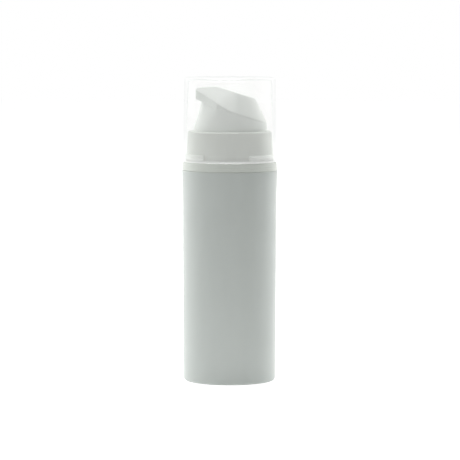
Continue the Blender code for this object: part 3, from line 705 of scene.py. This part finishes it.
@dataclass
class Collar:
    """The shoulder ring: a flange band, a ledge, a tapering wall and three raised beads for the cap."""

    lathe: Lathe
    # Painted highlight: the beads take a lighter copy of the collar's white, so that they read brighter than
    # the ring round them.
    bead_painted_highlight: MouldedPlastic = MouldedPlastic("bead_white_painted_highlight", (235, 239, 234), (230, 234, 229), 0.3)
    ledge: float = 0.0807
    ledge_thickness: float = 0.0012
    band_taper: float = 0.00022
    band_wall: float = 0.0006
    band_edge: float = 0.00021
    ledge_edge: float = 0.00045
    step_edge: float = 0.00024
    step: float = 0.00112
    taper: float = 0.00072
    wall: float = 0.0011
    rim_width: float = 0.00174
    rim_thickness: float = 0.0012
    rim_edge: float = 0.0001
    rim_round: float = 0.0011
    rim_rise: float = 0.0002
    seam: float = 0.00028
    groove_height: float = 0.00105
    groove_width: float = 0.00032
    groove_depth: float = 0.00005
    bead_rise: float = 0.00092
    bead_height: float = 0.002
    bead_depth: float = 0.00042
    bead_low_ridge: float = 0.8
    bead_hollow: float = 0.4
    bead_soft: float = 0.2
    bead_sweep: float = math.radians(60)
    bead_first: float = math.radians(-90 + 54.4)
    bead_count: int = 3
    bead_steps: int = 48
    edge: float = 0.00015

    def radius(self, height: float) -> float:
        """Gives the wall's outer radius at a height."""
        wide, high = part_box("collar")[1].xz
        return wide - self.band_taper - self.step - self.taper * (height - self.ledge) / (high - self.ledge)

    def outline(self) -> list[Corner]:
        """Draws the ring's section.

        Returns:
            Its corners, down the outside and up the inside.
        """
        low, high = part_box("collar")
        band, rim = high.x, high.z + self.rim_rise
        foot, top = self.radius(self.ledge), self.radius(rim)
        under, rim_under = self.ledge - self.ledge_thickness, rim - self.rim_thickness
        return [
            (top, rim, self.rim_round),
            (foot, self.ledge, self.step_edge),
            (band - self.band_taper, self.ledge, self.ledge_edge),
            *self.band_groove(),
            (band, low.z - self.seam, self.band_edge),
            (band - self.band_wall, low.z - self.seam, self.edge / 2),
            (band - self.band_wall, under, self.edge),
            (foot - self.wall, under, self.edge),
            (top - self.wall, rim_under, self.edge),
            (top - self.rim_width, rim_under, self.edge / 2),
            (top - self.rim_width, rim, self.rim_edge),
        ]

    def band_groove(self) -> list[Corner]:
        """Draws the fine groove round the flange band.

        Returns:
            Its corners, from the top down.
        """
        low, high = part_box("collar")
        middle, half = low.z + self.groove_height, self.groove_width / 2
        lean = self.band_taper / (self.ledge - low.z)
        corners = []
        for height, depth in ((half, 0.0), (half / 2, 1.0), (-half / 2, 1.0), (-half, 0.0)):
            radius = high.x - lean * (middle + height - low.z) - depth * self.groove_depth
            corners.append((radius, middle + height, self.groove_depth))
        return corners

    def bead_section(self) -> list[Point]:
        """Draws a bead's closed section: two ridges with a hollow between them.

        Returns:
            Its points about the middle of its root, outwards along X and down along Y.
        """
        half, depth, root = self.bead_height / 2, self.bead_depth, -self.wall / 2
        ridge, hollow, soft = self.bead_low_ridge * depth, self.bead_hollow * depth, self.bead_soft * depth
        corners = [
            (root, -half, 0.0),
            (0.05 * depth, -half, 0.0),
            (ridge, -0.75 * half, soft),
            (ridge, -0.65 * half, soft),
            (hollow, -0.45 * half, soft),
            (hollow, 0.4 * half, soft),
            (depth, 0.8 * half, soft),
            (depth, 0.92 * half, soft),
            (0.1 * depth, half, 0.0),
            (root, half, 0.0),
        ]
        return [(x, y, 0.0) for x, y in rounded(corners, closed=True, steps=3)]

    def build(self) -> None:
        """Makes and dresses the ring and its beads."""
        piece = self.lathe.turn("collar_ring", self.outline(), Slot.COLLAR, fillet_steps=5)
        finish_piece(piece, Body.BOTTLE, Slot.COLLAR, "collar")
        beads = BeadTree().make(
            "collar_beads",
            self.bead_section(),
            closed=True,
            Count=self.bead_count,
            First=self.bead_first,
            Sweep=self.bead_sweep,
            Radius=self.radius(self.ledge),
            Steps=self.bead_steps,
            Finish=self.bead_painted_highlight.material(),
        )
        middle = self.ledge + self.bead_rise + self.bead_height / 2
        beads.data.transform(Matrix.Translation((0.0, 0.0, middle)))
        finish_piece(beads, Body.BOTTLE, Slot.COLLAR)


@dataclass
class Overcap:
    """The clear cap: a thin drawn-in wall that stands on the ledge, under a flat top."""

    lathe: Lathe
    wall: float = 0.00056
    top_wall: float = 0.001
    outer_taper: float = 0.00045
    inner_taper: float = 0.0011
    bore_top: float = 0.0838
    bore_round: float = 0.004
    seat: float = 0.00026
    edge: float = 0.001

    def outline(self) -> list[Corner]:
        """Draws the cap's section.

        Returns:
            Its corners, from the top's middle round to the ceiling's.
        """
        low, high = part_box("overcap")
        rim, bore, foot = high.x, high.x - self.wall, low.z - self.seat
        ceiling = high.z - self.top_wall
        return [
            (0.0, high.z, 0.0),
            (rim - self.outer_taper, high.z, self.edge),
            (rim, foot, self.wall / 4),
            (bore, foot, self.wall / 4),
            (bore, self.bore_top, self.bore_round),
            (bore - self.inner_taper, ceiling, self.edge),
            (0.0, ceiling, 0.0),
        ]

    def build(self) -> None:
        """Makes and dresses the cap."""
        piece = self.lathe.turn("overcap_shell", self.outline(), Slot.OVERCAP, fillet_steps=6)
        finish_piece(piece, Body.OVERCAP, Slot.OVERCAP, "overcap")


@dataclass(frozen=True)
class Ring:
    """A ring of a lofted form, and the reach and steps of the rounding where the form bends there."""

    points: list[Vector]
    reach: float = 0.0
    steps: int = 0


@dataclass
class Head:
    """The pressing head: a wall that rises from the collar, a beak and a sloping finger pad."""

    lathe: Lathe
    # The wall below the crease, and the reach of the beak.
    radius: float = 0.0135
    reach: float = 0.01252
    wall: float = 0.0013
    shoulder: float = 0.0921
    lean: float = 0.0002
    # The crease between the body and the top, which slopes up towards the beak.
    crease: float = 0.0998
    crease_slope: float = 0.335
    crease_front: float = 0.0103
    crease_back: float = 0.01355
    crease_side: float = 0.0119
    front_point: float = 2.4
    front_fade: float = 0.7
    # The finger pad and its rounded edge.
    pad: float = 0.1067
    pad_slope: float = 0.3125
    pad_front: float = 0.005
    pad_back: float = 0.0101
    pad_side: float = 0.0069
    pad_edge: float = 0.0009
    pad_dish: float = 0.00022
    # The beak's end, its top, and how its underside runs back to the crease.
    tip_width: float = 0.0068
    tip_top: float = 0.10772
    tip_edge: float = 0.0006
    tip_lift: float = 0.0001
    tip_depth: float = 0.004
    tip_flat: float = 0.0016
    tip_turn: float = math.radians(58)
    brow_round: float = 0.0006
    root: float = 0.0005
    chin: float = 0.00165
    chin_drop: float = 0.0003
    heel: float = 0.0046
    heel_height: float = 0.1003
    fade: float = 0.0005
    fade_drop: float = 0.0003
    undercut: float = 0.0015
    fillet: float = 0.00025
    # What is hollow in the head or stands in its hollow.
    socket: float = 0.0029
    socket_wall: float = 0.0012
    socket_low: float = 0.0914
    socket_top: float = 0.0978
    duct: float = 0.0009
    duct_wall: float = 0.0011
    riser: float = 0.0012
    boss_radius: float = 0.0076
    boss_wall: float = 0.0016
    boss_gap: float = 0.00002
    seat: float = 0.0015
    overrun: float = 0.0003
    roof_wall: float = 0.001625
    # The nozzle bush: its hole, which a lip in front and a cone behind open out, and its edges.
    nozzle_length: float = 0.002
    hole: float = 0.0005
    hole_depth: float = 0.00035
    lip: float = 0.00075
    lip_edge: float = 0.00015
    cone: float = 0.0008
    cone_share: float = 0.6
    bush_edge: float = 0.0001
    # How the forms are divided.
    points: int = 144
    tip_steps: int = 8
    brow_steps: int = 18
    flank_steps: int = 24

    def egg(self, front: float, back: float, side: float, power: float = ELLIPSE) -> Plan:
        """Gives an egg-shaped plan round the axis.

        Args:
            front: Its reach along -X.
            back: Its reach along +X.
            side: Its half width.
            power: How full its front is; 2 is an ellipse, and more is squarer.

        Returns:
            The plan's points.
        """
        centre, reach = (back - front) / 2, (back + front) / 2
        plan: Plan = []
        for i in range(self.points):
            angle = 2 * math.pi * i / self.points
            c, s = math.cos(angle), math.sin(angle)
            share = ELLIPSE / (ELLIPSE + (power - ELLIPSE) * max(0.0, -c) ** self.front_fade)
            x, y = math.copysign(abs(c) ** share, c), math.copysign(abs(s) ** share, s)
            plan.append((centre + reach * x, side * y))
        return plan

    def body_plan(self, inset: float = 0.0) -> Plan:
        """Gives the body's plan at the crease, drawn in by an inset."""
        front, back, side = self.crease_front - inset, self.crease_back - inset, self.crease_side - inset
        return self.egg(front, back, side, self.front_point)

    def pad_plan(self, inset: float = 0.0) -> Plan:
        """Gives the finger pad's plan without its beak, drawn in by an inset."""
        return self.egg(self.pad_front - inset, self.pad_back - inset, self.pad_side - inset)

    def beaked(self, plan: Plan, reach: float, tip_half: float) -> Plan:
        """Draws a plan's front out to a flat beak end, with a straight flank on each side.

        Args:
            plan: The plan without a beak.
            reach: How far the beak reaches along -X.
            tip_half: Half its end's width.

        Returns:
            The beaked plan.
        """
        points = list(plan)
        middle = self.points // 2
        end_x, end_y = plan[middle - self.flank_steps]
        steps = (self.tip_steps, self.brow_steps, self.flank_steps)
        arc = (tip_half - self.tip_flat) / math.sin(self.tip_turn)
        corner = arc * (1 - math.cos(self.tip_turn)) - reach
        flat_steps = self.tip_steps // 4
        for step in range(self.flank_steps):
            if step <= flat_steps:
                x, y = -reach, self.tip_flat * step / flat_steps
            elif step <= self.tip_steps:
                angle = self.tip_turn * (step - flat_steps) / (self.tip_steps - flat_steps)
                x, y = arc * (1 - math.cos(angle)) - reach, self.tip_flat + arc * math.sin(angle)
            else:
                x = float(np.interp(step, steps, (corner, -self.pad_front, end_x)))
                y = tip_half + (end_y - tip_half) * (x - corner) / (end_x - corner)
            points[middle - step] = (x, y)
            points[middle + step] = (x, -y)
        return points

    def narrowed(self, plan: Plan, limit: Plan) -> Plan:
        """Keeps a plan no wider than another one.

        Args:
            plan: The plan.
            limit: The plan that it stays within, across the beak's direction.

        Returns:
            The narrowed plan.
        """
        half = limit[self.points // 2 :: -1]
        places, widths = [x for x, _ in half], [abs(y) for _, y in half]
        return [(x, math.copysign(min(abs(y), float(np.interp(x, places, widths))), y)) for x, y in plan]

    def raised(self, plan: Plan, height: Callable[[float], float]) -> list[Vector]:
        """Lifts each point of a plan to the height that goes with its X."""
        return [Vector((x, y, height(x))) for x, y in plan]

    def top_height(self, x: float) -> float:
        """Gives the top's height: the finger pad's slope, rounded over the brow to the beak's.

        Args:
            x: The place along the beak's direction.

        Returns:
            The height there.
        """
        brow = self.pad + self.pad_slope * self.pad_front
        beak_slope = (brow - self.tip_top) / (self.reach - self.pad_front)
        past = x + self.pad_front
        bend = math.sqrt(past * past + self.brow_round**2) - self.brow_round
        mean, spread = (beak_slope - self.pad_slope) / 2, (beak_slope + self.pad_slope) / 2
        return brow + mean * past - spread * bend

    def body_height(self, x: float) -> float:
        """Gives the crease's height round the body."""
        return self.crease - self.crease_slope * x

    def crease_height(self, x: float) -> float:
        """Gives the crease's height, which climbs faster along the beak than round the body.

        Args:
            x: The place along the beak's direction.

        Returns:
            The height there.
        """
        if x >= -self.root:
            return self.body_height(x)
        root = self.body_height(-self.root)
        slope = (self.tip_top - self.tip_edge - root) / (self.reach - self.root)
        return root - slope * (x + self.root)

    def edge_height(self, x: float) -> float:
        """Gives the height where the top's rounded edge starts, which stays above the crease."""
        return max(self.top_height(x) - self.pad_edge, self.crease_height(x) + self.tip_lift)

    def under_height(self, x: float) -> float:
        """Gives the height of the beak's lower edge, which fades into the crease behind the axis.

        Args:
            x: The place along the beak's direction.

        Returns:
            The height there.
        """
        foot = self.tip_top - self.tip_depth
        faded = self.crease_height(self.fade) - self.fade_drop
        places = (-self.reach, self.chin - self.reach, -self.heel, self.fade)
        heights = (foot, foot - self.chin_drop, self.heel_height, faded)
        return min(float(np.interp(x, places, heights)), self.crease_height(x) - self.fade_drop)

    def wall_rings(self, inset: float, low: float) -> list[list[Vector]]:
        """Gives the rings of the wall below the crease.

        Args:
            inset: How far inside the outer wall they lie.
            low: The height of the open end.

        Returns:
            Rings from the open end up.
        """
        base = self.egg(self.radius - inset, self.radius - inset, self.radius - inset)
        middle = []
        for (base_x, base_y), (x, y) in zip(base, self.body_plan(inset)):
            height = (self.shoulder + self.crease - self.crease_slope * x) / 2
            middle.append(Vector(((base_x + x) / 2 + self.lean, (base_y + y) / 2, height)))
        return [self.raised(base, lambda x: low), self.raised(base, lambda x: self.shoulder), middle]

    def outer_rings(self) -> list[Ring]:
        """Gives the rings of the outer form.

        Returns:
            Rings from the open end up, each with its rounding.
        """
        tip_half, inner = self.tip_width / 2, self.pad_edge
        top_half = tip_half - self.tip_edge
        body = self.body_plan()
        foot = self.beaked(body, self.reach, tip_half - self.undercut)
        crease = self.beaked(body, self.reach, tip_half)
        edge = self.beaked(self.pad_plan(), self.reach, top_half)
        flat = self.beaked(self.pad_plan(inner), self.reach - inner, top_half - inner)
        throat = self.raised(self.narrowed(body, foot), lambda x: self.under_height(x) - self.fillet)
        low, base, middle = self.wall_rings(0.0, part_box("actuator")[0].z)
        return [
            Ring(low),
            Ring(base, reach=0.0005, steps=3),
            Ring(middle, reach=0.0022, steps=5),
            Ring(throat, reach=0.0004, steps=3),
            Ring(self.raised(foot, self.under_height), reach=0.00018, steps=2),
            Ring(self.raised(crease, self.crease_height), reach=0.0003, steps=3),
            Ring(self.raised(edge, self.edge_height), reach=0.0014, steps=6),
            Ring(self.raised(flat, self.top_height)),
        ]

    def softened(self, rings: list[Ring]) -> list[list[Vector]]:
        """Rounds a form at its rings, along each line that runs up the form.

        Args:
            rings: The form's rings with their rounding.

        Returns:
            More rings, with each rounded one spread out.
        """
        result: list[list[Vector]] = []
        for i, ring in enumerate(rings):
            if not ring.steps:
                result.append(ring.points)
                continue
            spread: list[list[Vector]] = [[] for _ in range(ring.steps + 1)]
            for here, down, up in zip(ring.points, rings[i - 1].points, rings[i + 1].points):
                back, ahead = down - here, up - here
                start = here + back.normalized() * min(ring.reach, BLEND_SHARE * back.length)
                end = here + ahead.normalized() * min(ring.reach, BLEND_SHARE * ahead.length)
                for step, points in enumerate(spread):
                    t = step / ring.steps
                    points.append(start * (1 - t) ** 2 + here * (2 * t * (1 - t)) + end * t * t)
            result.extend(spread)
        return result

    def cap_over(self, bm: bmesh.types.BMesh, top: list[bmesh.types.BMVert]) -> None:
        """Closes the top with the finger pad: rows across it, slightly dished.

        Args:
            bm: The mesh that holds the form.
            top: The vertices of its last ring.
        """
        middle = self.points // 2
        width = 2 * self.tip_steps
        last = [top[middle - self.tip_steps + i] for i in range(width + 1)]
        for step in range(self.tip_steps + 1, middle):
            left, right = top[middle - step], top[middle + step]
            row = [left]
            for i in range(1, width):
                share = i / width
                place = left.co.lerp(right.co, share)
                across = 1 - (2 * share - 1) ** 2
                along = max(0.0, min(1.0, (place.x + self.pad_front) / self.pad_front))
                ahead = max(0.0, min(1.0, (self.pad_back - place.x) / self.pad_front))
                place.z -= self.pad_dish * across * along * ahead
                row.append(bm.verts.new(place))
            row.append(right)
            for i in range(width):
                bm.faces.new((last[i], last[i + 1], row[i + 1], row[i]))
            last = row
        for i in range(width):
            bm.faces.new((last[i], last[i + 1], top[0]))

    def loft(self, name: str, rings: list[list[Vector]], padded: bool) -> bpy.types.Object:
        """Makes a closed form through rings.

        Args:
            name: The object's name.
            rings: Rings of equal count, from the open end up.
            padded: Whether the last ring is closed by the finger pad, and not by one flat face.

        Returns:
            The form.
        """
        bm = bmesh.new()
        loops = [[bm.verts.new(point) for point in ring] for ring in rings]
        for lower, upper in zip(loops, loops[1:]):
            for i in range(self.points):
                j = (i + 1) % self.points
                bm.faces.new((lower[i], lower[j], upper[j], upper[i]))
        bm.faces.new(list(reversed(loops[0])))
        if padded:
            self.cap_over(bm, loops[-1])
        else:
            bm.faces.new(loops[-1])
        bmesh.ops.recalc_face_normals(bm, faces=bm.faces)
        return from_bmesh(name, bm)

    def rod(self, radius: float, start: Vector, end: Vector, sides: int) -> bpy.types.Object:
        """Makes a closed cylinder between two points, to cut with.

        Args:
            radius: Its radius.
            start: One end.
            end: The other end.
            sides: Faces round it.

        Returns:
            The cylinder.
        """
        along = end - start
        place = Matrix.Translation((start + end) / 2) @ along.to_track_quat("Z", "Y").to_matrix().to_4x4()
        bm = bmesh.new()
        sizes = dict(radius1=radius, radius2=radius, depth=along.length)
        bmesh.ops.create_cone(bm, cap_ends=True, segments=sides, matrix=place, **sizes)
        return from_bmesh("cutter", bm)

    def cut(self, obj: bpy.types.Object, cutter: bpy.types.Object) -> None:
        """Cuts a shape away and removes the cutter.

        Args:
            obj: The piece.
            cutter: The closed shape to take away.
        """
        modifier = obj.modifiers.new("Cut", "BOOLEAN")
        modifier.operation = "DIFFERENCE"
        modifier.solver = "EXACT"
        modifier.object = cutter
        apply_modifiers(obj)
        bpy.data.objects.remove(cutter)

    def drill(
        self, obj: bpy.types.Object, radius: float, start: Vector, end: Vector, sides: int = 48
    ) -> None:
        """Cuts a round hole of a radius, from one point to another, with some faces round it."""
        self.cut(obj, self.rod(radius, start, end, sides))

    def cavity(self, duct_start: Vector, duct_end: Vector) -> bpy.types.Object:
        """Makes the hollow inside the head, less what stands in it.

        Args:
            duct_start: Where the duct leaves the stem's socket.
            duct_end: Where it meets the nozzle bush.

        Returns:
            The hollow, round the stem's socket, the duct's wall and the boss that the spring presses on.
        """
        inset = self.wall
        rings = [
            *self.wall_rings(inset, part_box("actuator")[0].z - inset),
            self.raised(self.body_plan(inset), lambda x: self.body_height(x) - inset / 2),
            self.raised(self.pad_plan(inset), lambda x: self.pad - self.pad_slope * x - self.roof_wall),
        ]
        hollow = self.loft("head_hollow", rings, padded=False)
        top = Vector((0.0, 0.0, self.pad + inset))
        spring_top = Vector((0.0, 0.0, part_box("return_spring")[1].z + self.boss_gap))
        outer, inner = self.boss_radius + self.boss_wall / 2, self.boss_radius - self.boss_wall / 2
        boss = self.rod(outer, spring_top, top, self.points)
        self.drill(boss, inner, spring_top - top, 2 * top, self.points)
        self.cut(hollow, boss)
        self.drill(hollow, self.duct + self.duct_wall, duct_start, duct_end)
        self.drill(hollow, self.socket + self.socket_wall, Vector((0, 0, self.socket_low)), top)
        return hollow

    def nozzle_outline(self) -> list[Corner]:
        """Draws the nozzle bush's section about its own axis: a lip, a cone and the outlet hole.

        Returns:
            Its corners, from the outer rim's front edge round to the hole's.
        """
        low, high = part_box("nozzle_insert")
        radius, length, edge = (high.z - low.z) / 2, high.x - low.x, self.bush_edge
        return [
            (radius, 0.0, edge),
            (radius, length, edge),
            (self.cone, length, edge),
            (self.hole, self.cone_share * length, edge),
            (self.hole, self.hole_depth, edge),
            (self.lip, 0.0, self.lip_edge),
        ]

    def build(self) -> None:
        """Makes and dresses the head and the nozzle bush in its beak."""
        piece = self.loft("head_shell", self.softened(self.outer_rings()), padded=True)
        piece.data.materials.append(material_of(Slot.HEAD))
        nozzle_low, nozzle_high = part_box("nozzle_insert")
        mouth = Vector((-self.reach, 0.0, (nozzle_low.z + nozzle_high.z) / 2))
        seat_end = mouth + Vector((self.nozzle_length, 0.0, 0.0))
        duct_start = Vector((0.0, 0.0, self.socket_top + self.duct))
        ahead, up = Vector((self.overrun, 0.0, 0.0)), Vector((0.0, 0.0, self.overrun))
        low, top = Vector((0.0, 0.0, self.socket_low)) - up, Vector((0.0, 0.0, self.socket_top))
        self.cut(piece, self.cavity(duct_start, seat_end))
        self.drill(piece, self.socket, low, top)
        self.drill(piece, self.riser, top - up, 2 * duct_start - top, sides=32)
        self.drill(piece, self.duct, duct_start, seat_end, sides=24)
        self.drill(piece, self.seat, mouth - ahead, seat_end + ahead)
        finish_piece(settle(piece), Body.HEAD, Slot.HEAD, "actuator")
        bush = self.lathe.turn("nozzle_bush", self.nozzle_outline(), Slot.HEAD, fillet_steps=4, steps=64)
        bush.data.transform(Matrix.Translation(mouth) @ Matrix.Rotation(math.pi / 2, 4, "Y"))
        finish_piece(bush, Body.HEAD, Slot.HEAD, "nozzle_insert")


class SpringTree(PieceTree):
    """Winds a compression spring that stands on the origin."""

    WIRE_SIDES = 12

    def __init__(self) -> None:
        """Builds the tree: a spiral swept by a round wire."""
        super().__init__(
            "wound_spring", Turns="Float", Radius="Float", Climb="Float", Wire="Float", Steps="Int"
        )
        given = self.given
        coil = {"Resolution": given["Steps"], "Rotations": given["Turns"], "Height": given["Climb"]}
        radii = {"Start Radius": given["Radius"], "End Radius": given["Radius"]}
        spiral = self.node("GeometryNodeCurveSpiral", {**coil, **radii})
        size = {"Resolution": self.WIRE_SIDES, "Radius": given["Wire"]}
        wire = self.node("GeometryNodeCurvePrimitiveCircle", size, mode="RADIUS")
        swept = {"Curve": spiral, "Profile Curve": wire, "Fill Caps": True}
        self.end(self.node("GeometryNodeCurveToMesh", swept))


@dataclass
class Pump:
    """The pump inside: the wound spring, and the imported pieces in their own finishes."""

    wire: float = 0.0004
    turns: float = 4.5
    steps: int = 36
    stroke: float = 0.005

    def build(self) -> None:
        """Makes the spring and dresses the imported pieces."""
        low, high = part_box("return_spring")
        length = high.z - low.z
        spring = SpringTree().make(
            "wound_spring",
            [],
            closed=False,
            Turns=self.turns,
            Radius=high.x - self.wire,
            Climb=length - 2 * self.wire,
            Wire=self.wire,
            Steps=self.steps,
            Finish=material_of(Slot.SPRING),
        )
        spring.data.transform(Matrix.Translation((0.0, 0.0, low.z + self.wire)))
        finish_piece(spring, Body.BOTTLE, Slot.SPRING, "return_spring")
        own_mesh(spring)
        for name, obj in frame["nodes"].items():
            if obj.hide_render:
                continue
            for holder in obj.material_slots:
                slot = Slot(holder.material.name.split(".")[0])
                holder.material = material_of(slot)
                LOG.info("%s: packed piece in %s", name, slot.value)


@dataclass(frozen=True)
class SoftBox:
    """A large soft square lamp."""

    name: str
    place: Point
    size: float
    power: float
    mirrored: bool = False
    target: Point = (0.0, 0.0, 0.06)

    def build(self) -> None:
        """Hangs the lamp and points it at its target."""
        lamp = bpy.data.lights.new(self.name, "AREA")
        lamp.size = self.size
        lamp.energy = self.power
        obj = new_object(self.name, lamp)
        obj.location = self.place
        aim = Vector(self.target) - Vector(self.place)
        obj.rotation_euler = aim.to_track_quat("-Z", "Y").to_euler()
        obj.visible_camera = False
        obj.visible_glossy = self.mirrored


@dataclass
class Studio:
    """The white surroundings, the lamps and the camera."""

    floor_size: float = 6.0
    floor_gap: float = 0.0001
    floor_glow: float = 0.97
    floor_tone: float = 0.9
    floor_shade: float = 0.3
    sky: float = 0.1
    card_gap: float = 0.00005
    camera_place: Point = (0.0, -1.0, 0.137)
    camera_pitch: float = math.radians(4.66)
    camera_roll: float = math.radians(-0.1)
    lens: float = 213.1
    sensor: float = 36.0
    nearest: float = 0.01

    def seen(self, graph: Graph) -> Wire:
        """Gives 1 for the rays that see the surroundings, and 0 for those that light the object by them."""
        rays = [Wire(graph, ray) for ray in graph.node("ShaderNodeLightPath").outputs if ray.name in SEEING]
        return graph.maths("MINIMUM", rays[0] + rays[1] + rays[2], 1.0)

    def floor(self) -> None:
        """Lays the white floor, which keeps a faint shadow."""
        half, tone, shade = self.floor_size / 2, self.floor_tone, self.floor_shade
        corners = [(-half, -half), (half, -half), (half, half), (-half, half)]
        mesh = bpy.data.meshes.new("floor")
        mesh.from_pydata([(x, y, -self.floor_gap) for x, y in corners], [], [(0, 1, 2, 3)])
        shader = Shader("floor_white")
        plain = shader.node("ShaderNodeBsdfDiffuse", {"Color": (tone, tone, tone, 1.0)})
        shaded = shader.node("ShaderNodeBsdfDiffuse", {"Color": (shade, shade, shade, 1.0)})
        glow = shader.node("ShaderNodeEmission", {"Strength": self.floor_glow})
        bright = shader.node("ShaderNodeAddShader", {0: shaded, 1: glow})
        mesh.materials.append(shader.show(shader.blend(self.seen(shader), plain, bright)))
        new_object("floor", mesh)

    def world(self) -> None:
        """Sets a soft even sky that looks white."""
        world = bpy.data.worlds.new("white_surroundings")
        bpy.context.scene.world = world
        world.use_nodes = True
        graph = Graph(world.node_tree)
        background = world.node_tree.nodes["Background"]
        graph.feed(background.inputs["Color"], (1.0, 1.0, 1.0, 1.0))
        graph.feed(background.inputs["Strength"], self.seen(graph) * (1.0 - self.sky) + self.sky)

    def lamps(self) -> None:
        """Hangs the soft boxes, and lays one on the floor for the light that it throws back."""
        for box in (
            SoftBox("left_box", (-1.1, 0.0, 0.35), size=1.2, power=2.2),
            SoftBox("left_back_box", (-0.9, 0.87, 0.4), size=1.2, power=17.4),
            SoftBox("right_back_box", (0.9, 0.87, 0.4), size=1.2, power=20.2),
            SoftBox("top_box", (-0.1, 0.0, 1.05), size=0.8, power=8.9, mirrored=True),
            SoftBox("floor_card", (0.0, 0.0, -self.card_gap), size=0.12, power=0.0145, target=UPWARDS),
        ):
            box.build()

    def camera(self) -> None:
        """Stands the camera where the photograph was taken from."""
        data = bpy.data.cameras.new("camera")
        data.lens = self.lens
        data.sensor_width = self.sensor
        data.sensor_fit = "HORIZONTAL"
        data.clip_start = self.nearest
        obj = new_object("camera", data)
        obj.location = self.camera_place
        obj.rotation_euler = (math.pi / 2 - self.camera_pitch, self.camera_roll, 0.0)
        bpy.context.scene.camera = obj

    def build(self) -> None:
        """Sets up the surroundings."""
        self.floor()
        self.world()
        self.lamps()
        self.camera()
        bpy.context.scene.view_settings.view_transform = "Standard"


def main() -> None:
    """Builds the surroundings and every piece."""
    logging.basicConfig(level=logging.INFO, format="%(name)s: %(message)s")
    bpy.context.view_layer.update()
    Studio().build()
    lathe = Lathe()
    for part in (Bottle(lathe), Collar(lathe), Overcap(lathe), Head(lathe), Pump()):
        part.build()


if __name__ == "__main__":
    main()
